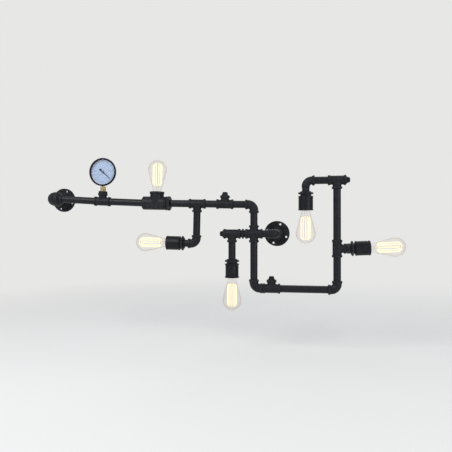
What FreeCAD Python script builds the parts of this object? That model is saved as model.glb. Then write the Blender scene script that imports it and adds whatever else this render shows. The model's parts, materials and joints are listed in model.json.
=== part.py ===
"""Industrial pipe wall light: black iron pipes and fittings on two wall flanges, with five
screw-in lamps, four of them in turned cups and one in a large tee, and a round dial gauge.

Frame: origin in the middle of the right flange's back face, on the wall. +X is to the right
and +Z up as the light is seen, and the wall is the plane Y = 0, with the light on its -Y side.
All lengths are millimetres.
"""
import FreeCAD, Part
import math
import os
import Sketcher

# name, value and meaning of every driving dimension
SIZES = (
    # half-inch pipe and its malleable fittings
    ("pipe_od", 21.3, "outside diameter of the pipe"),
    ("pipe_id", 16.1, "inside diameter of the pipe"),
    ("reach", 25.0, "centre of a fitting to its port"),
    ("collar_od", 29.0, "bead round a fitting's port"),
    ("collar_len", 6.5, "length of that bead"),
    ("body_od", 25.6, "cast body between the beads"),
    ("branch_od", 24.4, "cast body of a branch"),
    ("bend_r", 17.0, "centre-line radius of an elbow"),
    ("leg_taper", 4.0, "length over which a street elbow's bend narrows to its leg"),
    ("bevel", 1.0, "broken edge of a bead"),
    ("crotch_r", 2.5, "casting fillet where a branch leaves the run"),
    ("thread_len", 12.0, "pipe screwed into a port"),
    ("thread_play", 0.25, "radial play of a screwed joint"),
    ("seat_gap", 0.5, "end of a screwed pipe to the shoulder in the port"),
    # reducing elbow, one inch to half an inch, and its nipple at the left flange
    ("large_pipe_od", 33.7, "outside diameter of the large nipple"),
    ("large_pipe_id", 27.3, "inside diameter of the large nipple"),
    ("large_reach", 36.0, "centre of the large elbow to its ports"),
    ("large_collar_od", 46.0, "bead round the large elbow's wall port"),
    ("large_collar_len", 9.0, "length of that bead"),
    ("large_body_od", 43.0, "cast body of the large elbow"),
    ("large_bend_r", 25.0, "centre-line radius of the large elbow"),
    # wall flanges
    ("flange_od", 77.0, "outside diameter of a flange"),
    ("flange_plate", 5.0, "thickness of its plate"),
    ("hub_len", 16.5, "wall to the front of the hub"),
    ("hub_od", 37.0, "hub of the right flange"),
    ("large_hub_od", 46.0, "hub of the left flange"),
    ("screw_pcd", 60.0, "circle of the four screw holes"),
    ("screw_hole", 6.0, "diameter of a screw hole"),
    ("standoff", 76.5, "wall to the plane of the pipes"),
    # exposed lengths of the pipes, port to port
    ("cross_gap", 14.4, "cross to the right wall elbow, and cross to the side tee"),
    ("upper_riser", 35.6, "cross to the upper corner"),
    ("upper_right_run", 35.7, "upper corner to the upper plug tee"),
    ("upper_mid_run", 33.1, "upper plug tee to the drop tee"),
    ("upper_lamp_run", 57.0, "drop tee to the lamp tee's bushing"),
    ("gauge_run", 104.0, "lamp tee to the gauge tee"),
    ("left_run", 106.9, "gauge tee to the left wall elbow"),
    ("drop", 68.3, "drop tee to the drop elbow"),
    ("lower_riser", 108.3, "cross to the lower left corner"),
    ("close_gap", 1.0, "lower left corner to the lower plug tee"),
    ("lower_run", 135.0, "lower plug tee to the lower right corner"),
    ("right_riser", 67.0, "lower right corner to the right lamp tee"),
    ("tall_riser", 144.1, "right lamp tee to the upper right tee"),
    ("upper_hook", 37.3, "upper right tee to the upper right corner"),
    ("side_drop", 49.5, "side tee to its lamp"),
    ("lamp_gap", 11.2, "drop elbow and right lamp tee to their lamps"),
    ("hook_gap", 6.2, "upper right corner to its lamp"),
    # lean of the long upper branch and of the right lamp, in degrees
    ("branch_lean", 1.26, "upper run, from the upper corner leftwards"),
    ("gauge_lean", 2.61, "run from the lamp tee to the gauge tee"),
    ("end_lean", 3.48, "run from the gauge tee to the left wall elbow"),
    ("lamp_lean", 2.5, "right lamp"),
    # large tee that holds a lamp
    ("lamp_tee_od", 40.0, "run of the lamp tee"),
    ("lamp_tee_branch_od", 44.0, "bead round the mouth of its branch"),
    ("lamp_tee_neck_od", 41.0, "branch below that bead"),
    ("lamp_tee_mouth", 34.6, "run centre line to the mouth"),
    ("lamp_tee_long", 44.1, "branch axis to the left port"),
    ("lamp_tee_short", 27.4, "branch axis to the right port"),
    ("lamp_tee_bevel", 3.0, "length of the bevel at its left end"),
    ("lamp_tee_end_od", 32.0, "left end inside that bevel"),
    ("bushing_shank", 29.0, "threaded shank of the bushing in the right port"),
    ("bushing_gap", 0.6, "end of that shank to the room for the holder"),
    ("bushing_head", 8.5, "length of the bushing's hexagon"),
    ("ring_gap", 1.0, "lamp tee to the lock ring on its bushing"),
    ("thin_ring_len", 4.0, "hexagon of that ring"),
    ("thin_washer_len", 1.5, "its round face"),
    # lamp holders
    ("ring_flats", 37.0, "hexagonal lock ring, across flats"),
    ("ring_len", 5.5, "length of its hexagon"),
    ("washer_od", 31.0, "round face on the ring"),
    ("washer_len", 2.5, "length of that face"),
    ("neck_od", 31.0, "neck of a lamp cup"),
    ("neck_len", 5.0, "length of the neck"),
    ("cup_od", 42.6, "beads at both ends of a cup"),
    ("cup_len", 41.0, "length of a cup without its neck"),
    ("cup_waist", 41.0, "wall of a cup between its beads"),
    ("cup_slim_waist", 38.4, "the same on the side lamp's cup"),
    ("cup_bead", 4.0, "length of a bead"),
    ("cup_bore", 34.6, "inside of a cup"),
    ("cup_floor", 3.0, "floor of a cup"),
    ("nipple_rise", 2.0, "end of a nipple past the neck of its cup"),
    ("insulator_od", 34.2, "porcelain holder"),
    ("insulator_base", 5.0, "thickness of its base"),
    ("insulator_bore", 28.2, "room for the screw shell"),
    ("insulator_top", 12.0, "mouth of a cup to the porcelain's edge"),
    ("shell_od", 27.9, "brass screw shell"),
    ("shell_id", 27.0, "inside of the screw shell"),
    ("shell_sink", 1.0, "porcelain's edge down to the shell"),
    ("contact_od", 9.0, "centre contact"),
    ("contact_len", 1.8, "height of the centre contact"),
    # lamps, measured from the mouth of the cup outwards
    ("cap_od", 26.0, "screw cap of a lamp"),
    ("cap_rim_depth", 8.0, "mouth down to the rim of the cap"),
    ("cap_contact", 4.5, "height of the cap's insulated end"),
    ("cap_wall", 0.6, "sheet of the cap"),
    ("cap_lead", 0.7, "insulated end up to the cap's thread"),
    ("cap_pitch", 3.6, "pitch of the cap's round thread"),
    ("cap_threads", 4, "turns of that thread"),
    ("thread_height", 0.9, "height of that thread"),
    ("glass_tip", 100.0, "mouth to the tip of the glass"),
    ("glass_od", 56.0, "widest diameter of the glass"),
    ("glass_neck_od", 25.2, "neck of the glass"),
    ("glass_wall", 0.8, "thickness of the glass"),
    ("pip_len", 5.0, "sealed tip on the dome"),
    # pipe plugs
    ("plug_shoulder", 22.4, "round shoulder of a plug"),
    ("plug_shoulder_len", 4.0, "length of the shoulder outside the port"),
    ("plug_slope", 2.6, "sloping end of the shoulder"),
    ("plug_square", 15.0, "square head, across flats"),
    ("plug_square_len", 6.6, "length of the head"),
    ("plug_corner", 24.0, "cone that the head's corners are turned to, at its root"),
    ("plug_end", 11.6, "the same at the head's end"),
    # hexagon nipples
    ("hex_flats", 25.0, "hexagon of a nipple, across flats"),
    ("hex_len", 6.0, "length of the cross nipple's hexagon"),
    ("long_hex_len", 9.0, "length of the right lamp nipple's hexagon"),
    # gauge
    ("gauge_rise", 89.5, "gauge tee's centre to the gauge's centre"),
    ("gauge_bush_flats", 25.0, "bushing in the gauge tee, across flats"),
    ("gauge_bush_len", 6.0, "length of its hexagon"),
    ("gauge_stem_flats", 16.0, "brass stem, across flats"),
    ("gauge_tail_od", 13.0, "threaded end of the stem"),
    ("gauge_collar_od", 12.0, "collar of the stem under the bezel"),
    ("gauge_collar_len", 1.4, "length of that collar"),
    ("gauge_neck_od", 6.6, "stem where it enters the case"),
    ("block_top", 23.0, "dial's centre down to the stem's block inside the case"),
    ("block_len", 10.0, "height of the block as seen"),
    ("block_width", 14.0, "width of the block"),
    ("block_depth", 7.8, "thickness of the block"),
    ("block_level", 2.2, "back of the case to the back of the block"),
    ("case_od", 80.0, "pressed case inside the bezel"),
    ("case_back_od", 74.0, "case behind the step that carries the dial"),
    ("bezel_wall", 2.8, "wall of the bezel round the case"),
    ("bezel_lip", 4.75, "width of the bezel's ring in front of the window"),
    ("case_depth", 18.0, "back of the case to the front of the bezel"),
    ("case_axis", 6.0, "back of the case to the stem's axis"),
    ("case_wall", 1.5, "sheet of the case"),
    ("case_corner", 3.0, "chamfer round the back of the case"),
    ("case_play", 0.2, "clearance of the case round the stem, the dial and the window"),
    ("bezel_skirt", 6.5, "length of the bezel along the case"),
    ("bezel_play", 0.1, "clearance between bezel and case"),
    ("window_recess", 1.2, "front of the bezel to the window"),
    ("window_thick", 1.5, "thickness of the window"),
    ("dial_recess", 6.9, "front of the bezel to the back of the dial"),
    ("dial_thick", 0.8, "thickness of the dial"),
    ("dial_hole", 3.6, "hole in the dial for the arbor"),
    ("pointer_len", 30.0, "pivot to the pointer's tip"),
    ("pointer_tail", 11.0, "pivot to the centre of the counterweight"),
    ("pointer_tip", 0.9, "width of the pointer's tip"),
    ("pointer_root", 2.4, "width of the pointer at the pivot and tail"),
    ("pointer_hub_od", 6.0, "hub of the pointer"),
    ("pointer_weight_od", 6.8, "counterweight"),
    ("pointer_thick", 0.8, "sheet of the pointer"),
    ("pointer_air", 1.2, "dial's face to the pointer"),
    ("pointer_turn", 129.0, "pointer at rest, degrees clockwise from the top of the dial"),
    # gauge movement
    ("plate_width", 12.0, "movement plate"),
    ("plate_rise", 6.0, "dial's centre to the top of the plate"),
    ("plate_level", 4.5, "back of the case to the plate"),
    ("plate_thick", 1.5, "thickness of the plate"),
    ("gear_level", 8.0, "back of the case to the sector"),
    ("gear_thick", 2.0, "thickness of the sector"),
    ("gear_module", 0.4, "module of sector and pinion"),
    ("arbor_od", 2.0, "arbor of the pointer and pivot of the sector"),
    ("pivot_play", 0.06, "radial play of both pivots"),
    ("press_play", 0.02, "radial clearance of the pointer on its arbor"),
    ("bourdon_r", 29.0, "centre-line radius of the pressure tube"),
    ("bourdon_od", 4.8, "diameter of the pressure tube"),
    ("bourdon_end", 186.0, "its free end, degrees anticlockwise from the right"),
    # internal wiring
    ("wire_od", 5.0, "sleeved leads inside the pipes"),
    ("wire_gap", 0.1, "end of a lead to the porcelain"),
)

DOC = FreeCAD.newDocument("pipe_wall_light")
SHEET = DOC.addObject("Spreadsheet::Sheet", "Sheet")


class Size:
    """A number together with the sheet formula that it comes from."""

    def __init__(self, number, formula):
        self.number = number
        self.formula = formula

    @staticmethod
    def of(value):
        if isinstance(value, Size):
            return value
        return Size(float(value), f"{float(value):.6f}")

    def _with(self, other, sign, number):
        return Size(number, f"({self.formula} {sign} {other.formula})")

    def __add__(self, other):
        other = Size.of(other)
        return self._with(other, "+", self.number + other.number)

    def __sub__(self, other):
        other = Size.of(other)
        return self._with(other, "-", self.number - other.number)

    def __mul__(self, other):
        other = Size.of(other)
        return self._with(other, "*", self.number * other.number)

    def __truediv__(self, other):
        other = Size.of(other)
        return self._with(other, "/", self.number / other.number)


def fill_sheet():
    """Writes the driving dimensions into the sheet and returns them by name."""
    sizes = {}
    for row, (name, value, meaning) in enumerate(SIZES, start=1):
        SHEET.set(f"A{row}", str(value))
        SHEET.setAlias(f"A{row}", name)
        SHEET.set(f"B{row}", meaning)
        sizes[name] = Size(value, f"Sheet.{name}")
    DOC.recompute()
    return sizes


def length_of(*sizes):
    """Sum of sizes as a plain number."""
    return sum(Size.of(size).number for size in sizes)


S = fill_sheet()
ZERO = Size.of(0)
PORT_BORE = S["pipe_od"] + S["thread_play"] * 2
PORT_DEPTH = S["thread_len"] + S["seat_gap"]


def bind(obj, prop, size):
    """Binds a property to a size's formula."""
    obj.setExpression(prop, Size.of(size).formula)


# ---- placements ---------------------------------------------------------------------------

def heading(angle):
    """Unit vector in the plane of the wall, degrees anticlockwise from +X as seen."""
    turn = math.radians(angle)
    return FreeCAD.Vector(math.cos(turn), 0, math.sin(turn))


def facing(angle):
    """Turns local +X to heading(angle) and local +Z a quarter turn further."""
    return FreeCAD.Rotation(FreeCAD.Vector(0, -1, 0), angle)


def along(angle):
    """Turns local +Z to heading(angle)."""
    return facing(angle - 90)


def at(point, rotation=None):
    """Placement at a point."""
    return FreeCAD.Placement(point, rotation or FreeCAD.Rotation())


UP = FreeCAD.Vector(0, 0, 1)
TO_WALL = FreeCAD.Rotation(FreeCAD.Vector(1, 0, 0), -90)    # local +Z to +Y
FROM_WALL = FreeCAD.Rotation(FreeCAD.Vector(1, 0, 0), 90)   # local +Z to -Y, +Y to +Z


# ---- building blocks ----------------------------------------------------------------------

def cylinder(name, diameter, length, start=ZERO, rotation=None):
    """Part cylinder whose axis starts `start` along its own direction."""
    solid = DOC.addObject("Part::Cylinder", name)
    bind(solid, "Radius", Size.of(diameter) / 2)
    bind(solid, "Height", length)
    lift(solid, start, rotation)
    return solid


def cone(name, diameter_near, diameter_far, length, start=ZERO, rotation=None):
    """Part cone, near end first."""
    solid = DOC.addObject("Part::Cone", name)
    bind(solid, "Radius1", Size.of(diameter_near) / 2)
    bind(solid, "Radius2", Size.of(diameter_far) / 2)
    bind(solid, "Height", length)
    lift(solid, start, rotation)
    return solid


def prism(name, flats, length, start=ZERO):
    """Hexagonal bar along local Z."""
    solid = DOC.addObject("Part::Prism", name)
    solid.Polygon = 6
    bind(solid, "Circumradius", Size.of(flats) / (2 * math.cos(math.radians(30))))
    bind(solid, "Height", length)
    lift(solid, start, None)
    return solid


def lift(solid, start, rotation):
    """Turns a primitive and moves it along its own turned Z axis by a bound distance."""
    rotation = rotation or FreeCAD.Rotation()
    solid.Placement = at(FreeCAD.Vector(), rotation)
    axis = rotation.multVec(UP)
    for letter, part in (("x", axis.x), ("y", axis.y), ("z", axis.z)):
        if abs(part) > 1e-9:
            bind(solid, f"Placement.Base.{letter}", Size.of(start) * part)


def fuse(name, solids):
    """Union of several solids."""
    union = DOC.addObject("Part::MultiFuse", name)
    union.Shapes = solids
    return union


def cut(name, base, tools):
    """Base less the tools."""
    result = DOC.addObject("Part::Cut", name)
    result.Base = base
    result.Tool = tools[0] if len(tools) == 1 else fuse(name + "_tools", tools)
    return result


def finish(solid, label, placement):
    """Names a sub-part and puts it in its place."""
    solid.Label = label
    solid.Placement = placement
    return solid


def group(label, solids):
    """Several separate solids in one sub-part."""
    compound = DOC.addObject("Part::Compound", label)
    compound.Links = solids
    compound.Label = label
    return compound


def new_body(label):
    return DOC.addObject("PartDesign::Body", label)


def new_sketch(body, name, role):
    """Sketch on one of the body's own origin planes."""
    sketch = body.newObject("Sketcher::SketchObject", name)
    plane = next(item for item in body.Origin.OriginFeatures if item.Role == role)
    sketch.AttachmentSupport = (plane, [""])
    sketch.MapMode = "FlatFace"
    return sketch


def pin(sketch, geometry, position, across, up):
    """Fixes a sketch point at bound distances from the sketch's origin."""
    for kind, size, axis in (("DistanceX", across, -2), ("DistanceY", up, -1)):
        size = Size.of(size)
        if abs(size.number) < 1e-9:
            sketch.addConstraint(Sketcher.Constraint("PointOnObject", geometry, position, axis))
        else:
            row = sketch.addConstraint(
                Sketcher.Constraint(kind, -1, 1, geometry, position, size.number))
            sketch.setExpression(f"Constraints[{row}]", size.formula)


def polygon(sketch, points):
    """Closed outline through bound points."""
    points = [(Size.of(across), Size.of(up)) for across, up in points]
    ends = [FreeCAD.Vector(across.number, up.number, 0) for across, up in points]
    first = sketch.GeometryCount
    count = len(points)
    for index in range(count):
        sketch.addGeometry(Part.LineSegment(ends[index], ends[(index + 1) % count]), False)
    for index in range(count):
        following = first + (index + 1) % count
        sketch.addConstraint(Sketcher.Constraint("Coincident", first + index, 2, following, 1))
    for index, (across, up) in enumerate(points):
        pin(sketch, first + index, 1, across, up)


def circle(sketch, diameter, across=ZERO, up=ZERO):
    """Circle with a bound diameter and centre."""
    across, up, diameter = Size.of(across), Size.of(up), Size.of(diameter)
    centre = FreeCAD.Vector(across.number, up.number, 0)
    row = sketch.addGeometry(Part.Circle(centre, UP, diameter.number / 2), False)
    pin(sketch, row, 3, across, up)
    datum = sketch.addConstraint(Sketcher.Constraint("Diameter", row, diameter.number))
    sketch.setExpression(f"Constraints[{datum}]", diameter.formula)


def turned(label, points):
    """Body turned about local Z from (radius, height) points."""
    body = new_body(label)
    sketch = new_sketch(body, label + "_outline", "XZ_Plane")
    polygon(sketch, points)
    turn = body.newObject("PartDesign::Revolution", label + "_turn")
    turn.Profile = sketch
    turn.ReferenceAxis = (sketch, ["V_Axis"])
    turn.Angle = 360
    sketch.Visibility = False
    return body


def padded(label, draw, length):
    """Body padded along local Z from a sketch that draw() fills."""
    body = new_body(label)
    sketch = new_sketch(body, label + "_outline", "XY_Plane")
    draw(sketch)
    pad = body.newObject("PartDesign::Pad", label + "_pad")
    pad.Profile = sketch
    bind(pad, "Length", length)
    return body


# ---- fittings -----------------------------------------------------------------------------

class Casting:
    """Sizes of one family of fittings."""

    def __init__(self, reach, collar_od, collar_len, body_od, bend_r, water):
        self.reach = reach
        self.collar_od = collar_od
        self.collar_len = collar_len
        self.body_od = body_od
        self.bend_r = bend_r
        self.water = water


SMALL = Casting(S["reach"], S["collar_od"], S["collar_len"], S["body_od"], S["bend_r"],
                S["pipe_id"])
LARGE = Casting(S["large_reach"], S["large_collar_od"], S["large_collar_len"],
                S["large_body_od"], S["large_bend_r"], S["pipe_id"])
REDUCED = Casting(S["large_reach"], S["collar_od"], S["collar_len"], S["large_body_od"],
                  S["large_bend_r"], S["pipe_id"])
LARGE_BORE = S["large_pipe_od"] + S["thread_play"] * 2


def bead_outside(name, casting, angle):
    """Bead with broken edges round the port of an arm at an angle."""
    rotation = along(angle)
    bead_start = casting.reach - casting.collar_len
    edge = S["bevel"]
    inner_od = casting.collar_od - edge * 2
    return [
        cone(name + "_near", inner_od, casting.collar_od, edge, bead_start, rotation),
        cylinder(name + "_bead", casting.collar_od, casting.collar_len - edge * 2,
                 bead_start + edge, rotation),
        cone(name + "_far", casting.collar_od, inner_od, edge, casting.reach - edge, rotation)]


def arm_inside(name, casting, angle, first, port_bore=PORT_BORE):
    """Threaded port and waterway of one arm."""
    rotation = along(angle)
    port = cylinder(name + "_port", port_bore, PORT_DEPTH, casting.reach - PORT_DEPTH, rotation)
    water = cylinder(name + "_water", casting.water, casting.reach - first, first, rotation)
    return [port, water]


def round_crotch(label, casting):
    """Fillets the seams where branches leave the run, on the outside of the casting."""
    DOC.recompute()
    radius = S["crotch_r"].number
    rounded = DOC.addObject("Part::Fillet", label + "_rounded")
    rounded.Base = casting
    rounded.Edges = [(number, radius, radius)
                     for number, edge in enumerate(casting.Shape.Edges, start=1)
                     if not isinstance(edge.Curve, (Part.Circle, Part.Line))]
    return rounded


def junction(label, branches, placement):
    """Tee or cross of half-inch size: a run along local X and branches at the angles given."""
    half = S["reach"] - S["bevel"]
    low = ZERO if len(branches) == 1 else half * -1
    outside = [
        cylinder(label + "_run", S["body_od"], half * 2, half * -1, along(0)),
        cylinder(label + "_branch", S["branch_od"], half - low, low, along(90))]
    inside = []
    for number, angle in enumerate((0, 180) + branches):
        outside += bead_outside(f"{label}_{number}", SMALL, angle)
        inside += arm_inside(f"{label}_{number}", SMALL, angle, ZERO)
    casting = round_crotch(label, fuse(label + "_cast", outside))
    return finish(cut(label, casting, inside), label, placement)


def quarter_ring(name, bend_r, diameter):
    """Quarter of a torus that joins local +X to local +Z."""
    ring = DOC.addObject("Part::Torus", name)
    bind(ring, "Radius1", bend_r)
    bind(ring, "Radius2", Size.of(diameter) / 2)
    ring.Angle3 = 90
    ring.Placement.Rotation = FreeCAD.Rotation(FreeCAD.Vector(0, 1, 0), 180).multiply(
        FreeCAD.Rotation(FreeCAD.Vector(1, 0, 0), 90))
    bind(ring, "Placement.Base.x", bend_r)
    bind(ring, "Placement.Base.z", bend_r)
    return ring


def barrel(name, casting, angle):
    """Straight part of an elbow's arm."""
    return cylinder(name, casting.body_od, casting.reach - S["bevel"] - casting.bend_r,
                    casting.bend_r, along(angle))


def elbow(label, placement):
    """Half-inch elbow whose ports face local +X and local +Z."""
    bend_r = SMALL.bend_r
    outside = [quarter_ring(label + "_bend", bend_r, SMALL.body_od)]
    inside = [quarter_ring(label + "_way", bend_r, SMALL.water)]
    for number, angle in enumerate((0, 90)):
        outside.append(barrel(f"{label}_{number}_barrel", SMALL, angle))
        outside += bead_outside(f"{label}_{number}", SMALL, angle)
        inside += arm_inside(f"{label}_{number}", SMALL, angle, bend_r)
    return finish(cut(label, fuse(label + "_cast", outside), inside), label, placement)


def street_elbow(label, exposed, placement):
    """Half-inch elbow with a port towards local +Z; towards local +X it ends in a threaded leg,
    which is screwed into a cup at an exposed distance from where a port would be."""
    bend_r = SMALL.bend_r
    bend_od = (SMALL.body_od + S["pipe_od"]) / 2
    leg_start = bend_r + S["leg_taper"]
    leg_end = SMALL.reach + exposed + LAMP_THREAD
    outside = [
        quarter_ring(label + "_bend", bend_r, bend_od),
        cone(label + "_swell", bend_od, SMALL.body_od, SMALL.reach - SMALL.collar_len - bend_r,
             bend_r, along(90)),
        cone(label + "_taper", bend_od, S["pipe_od"], S["leg_taper"], bend_r, along(0)),
        cylinder(label + "_leg", S["pipe_od"], leg_end - leg_start, leg_start, along(0))]
    outside += bead_outside(label + "_port", SMALL, 90)
    inside = [quarter_ring(label + "_way", bend_r, SMALL.water)]
    inside += arm_inside(label + "_port", SMALL, 90, bend_r)
    inside.append(cylinder(label + "_leg_water", SMALL.water, leg_end - bend_r, bend_r, along(0)))
    return finish(cut(label, fuse(label + "_cast", outside), inside), label, placement)


def reducing_elbow(label, placement):
    """Large elbow with a half-inch port towards local +X and its large port towards +Z."""
    bend_r = LARGE.bend_r
    taper = cone(label + "_taper", LARGE.body_od, REDUCED.collar_od,
                 REDUCED.reach - REDUCED.collar_len - bend_r, bend_r, along(0))
    outside = [quarter_ring(label + "_bend", bend_r, LARGE.body_od), taper,
               barrel(label + "_barrel", LARGE, 90)]
    outside += bead_outside(label + "_small", REDUCED, 0)
    outside += bead_outside(label + "_large", LARGE, 90)
    inside = [quarter_ring(label + "_way", bend_r, LARGE.water)]
    inside += arm_inside(label + "_small", REDUCED, 0, bend_r)
    inside += arm_inside(label + "_large", LARGE, 90, bend_r, LARGE_BORE)
    return finish(cut(label, fuse(label + "_cast", outside), inside), label, placement)


def tube(label, length, placement, outer=S["pipe_od"], inner=S["pipe_id"]):
    """Length of pipe along local +Z."""
    def ring(sketch):
        circle(sketch, outer)
        circle(sketch, inner)
    return finish(padded(label, ring, length), label, placement)


def flange(label, hub_od, bore, water, placement):
    """Floor flange, its back on local Z = 0 and its hub towards local +Z."""
    edge = S["bevel"]
    rim = S["flange_od"] / 2
    hub = hub_od / 2
    front = S["hub_len"]
    shoulder = front - PORT_DEPTH
    body = turned(label, (
        (water / 2, ZERO), (rim, ZERO), (rim, S["flange_plate"] - edge * 1.5),
        (rim - edge * 1.5, S["flange_plate"]), (hub + edge * 3, S["flange_plate"]),
        (hub, S["flange_plate"] + edge * 3), (hub, front - edge), (hub - edge, front),
        (bore / 2, front), (bore / 2, shoulder), (water / 2, shoulder)))
    sketch = new_sketch(body, label + "_hole", "XY_Plane")
    circle(sketch, S["screw_hole"], S["screw_pcd"] / 2, ZERO)
    hole = body.newObject("PartDesign::Pocket", label + "_pocket")
    hole.Profile = sketch
    hole.Reversed = True
    bind(hole, "Length", S["flange_plate"] * 2)
    holes = body.newObject("PartDesign::PolarPattern", label + "_holes")
    holes.Originals = [hole]
    holes.Axis = (sketch, ["N_Axis"])
    holes.Angle = 360
    holes.Occurrences = 4
    body.Tip = holes
    return finish(body, label, placement)


def hexagon_blank(name, flats, length, start=ZERO):
    """Hexagonal bar with its corners turned down at both ends."""
    corner = Size.of(flats) / math.cos(math.radians(30))
    edge = S["bevel"]
    middle = cylinder(name + "_mid", corner, length - edge * 2, start + edge)
    near = cone(name + "_near", corner - edge * 4, corner, edge, start)
    far = cone(name + "_far", corner, corner - edge * 4, edge, start + length - edge)
    blank = DOC.addObject("Part::Common", name + "_blank")
    blank.Base = prism(name + "_hex", flats, length, start)
    blank.Tool = fuse(name + "_turned", [near, middle, far])
    return blank


def lock_ring(label, placement, washer_len, ring_len, bore_d=PORT_BORE):
    """Hexagonal ring with a round face; local Z = 0 is that face, +Z points to the hexagon."""
    washer = cylinder(label + "_washer", S["washer_od"], washer_len + 0.5)
    hexagon = hexagon_blank(label + "_ring", S["ring_flats"], ring_len, washer_len)
    bore = cylinder(label + "_bore", bore_d, washer_len + ring_len)
    return finish(cut(label, fuse(label + "_solid", [washer, hexagon]), [bore]), label, placement)


def plug(label, placement):
    """Pipe plug with a square head whose corners are turned down; local Z = 0 is the port and
    +Z points out of it."""
    straight = S["plug_shoulder_len"] - S["plug_slope"]
    shank = cylinder(label + "_shank", S["pipe_od"], S["thread_len"], S["thread_len"] * -1)
    shoulder = cylinder(label + "_shoulder", S["plug_shoulder"], straight)
    slope = cone(label + "_slope", S["plug_shoulder"], S["plug_square"] * 1.1, S["plug_slope"],
                 straight)
    square = DOC.addObject("Part::Box", label + "_square")
    bind(square, "Length", S["plug_square"])
    bind(square, "Width", S["plug_square"])
    bind(square, "Height", S["plug_square_len"])
    bind(square, "Placement.Base.x", S["plug_square"] / -2)
    bind(square, "Placement.Base.y", S["plug_square"] / -2)
    bind(square, "Placement.Base.z", S["plug_shoulder_len"])
    head = DOC.addObject("Part::Common", label + "_head")
    head.Base = square
    head.Tool = cone(label + "_turned", S["plug_corner"], S["plug_end"], S["plug_square_len"],
                     S["plug_shoulder_len"])
    return finish(fuse(label, [shank, shoulder, slope, head]), label, placement)


def hex_nipple(label, exposed, hexagon_len, far_len, placement):
    """Nipple with a hexagon in the middle of its exposed length; Z = 0 is its first port."""
    length = S["thread_len"] + exposed + far_len
    shank = cylinder(label + "_shank", S["pipe_od"], length, S["thread_len"] * -1)
    hexagon = hexagon_blank(label + "_grip", S["hex_flats"], hexagon_len,
                            (exposed - hexagon_len) / 2)
    bore = cylinder(label + "_bore", S["pipe_id"], length, S["thread_len"] * -1)
    return finish(cut(label, fuse(label + "_solid", [shank, hexagon]), [bore]), label, placement)


# ---- lamps and their holders --------------------------------------------------------------

def lamp_cup(label, waist, placement):
    """Turned cup; local Z = 0 is the open end of its neck, +Z points to its mouth."""
    edge = S["bevel"]
    neck = S["neck_len"]
    mouth = neck + S["cup_len"]
    bead = S["cup_bead"]
    bead_r = S["cup_od"] / 2
    body = turned(label, (
        (PORT_BORE / 2, ZERO), (S["neck_od"] / 2, ZERO), (S["neck_od"] / 2, neck),
        (bead_r - edge * 1.5, neck), (bead_r, neck + edge), (bead_r, neck + bead - edge),
        (waist / 2, neck + bead), (waist / 2, mouth - bead), (bead_r, mouth - bead + edge),
        (bead_r, mouth - edge), (bead_r - edge, mouth), (S["cup_bore"] / 2, mouth),
        (S["cup_bore"] / 2, neck + S["cup_floor"]), (PORT_BORE / 2, neck + S["cup_floor"])))
    return finish(body, label, placement)


HOLDER_DEPTH = S["cup_len"] - S["cup_floor"]            # mouth down to the holder's seat
SHELL_SEAT = HOLDER_DEPTH - S["insulator_base"]         # mouth down to the shell and contact


def holder_insulator(label, placement):
    """Porcelain holder; local Z = 0 is its seat."""
    top = HOLDER_DEPTH - S["insulator_top"]
    edge = S["bevel"]
    outer = S["insulator_od"] / 2
    inner = S["insulator_bore"] / 2
    return finish(turned(label, (
        (ZERO, ZERO), (outer, ZERO), (outer, top - edge), (outer - edge, top), (inner, top),
        (inner, S["insulator_base"]), (ZERO, S["insulator_base"]))), label, placement)


def holder_shell(label, placement):
    """Brass screw shell; local Z = 0 is the porcelain that it stands on."""
    length = SHELL_SEAT - S["insulator_top"] - S["shell_sink"]
    return tube(label, length, placement, S["shell_od"], S["shell_id"])


def holder_contact(label, placement):
    """Brass centre contact; local Z = 0 is the porcelain that it stands on."""
    length = S["contact_len"]
    radius = S["contact_od"] / 2
    return finish(turned(label, (
        (ZERO, ZERO), (radius, ZERO), (radius, length / 2), (radius * 0.6, length),
        (ZERO, length))), label, placement)


CAP_DEPTH = SHELL_SEAT - S["contact_len"]               # mouth down to the tip of a lamp's cap


def lamp_cap(label, placement):
    """Hollow screw cap of a lamp; local Z = 0 is its contact's tip, +Z points outwards."""
    radius = S["cap_od"] / 2
    rim = CAP_DEPTH - S["cap_rim_depth"]
    points = [(ZERO, ZERO), (radius * 0.35, ZERO), (radius * 0.42, S["cap_contact"] * 0.3),
              (radius * 0.88, S["cap_contact"])]
    root = S["cap_contact"] + S["cap_lead"]
    for turn in range(S["cap_threads"].number):
        points += [(radius - S["thread_height"], root),
                   (radius, root + S["cap_pitch"] * 0.35), (radius, root + S["cap_pitch"] * 0.6)]
        root = root + S["cap_pitch"]
    skirt = radius - S["thread_height"] / 2
    bore = radius - S["thread_height"] - S["cap_wall"]
    points += [(skirt, root), (skirt, rim), (bore, rim), (bore, S["cap_contact"] + S["cap_wall"]),
               (ZERO, S["cap_contact"] + S["cap_wall"])]
    return finish(turned(label, points), label, placement)


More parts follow.
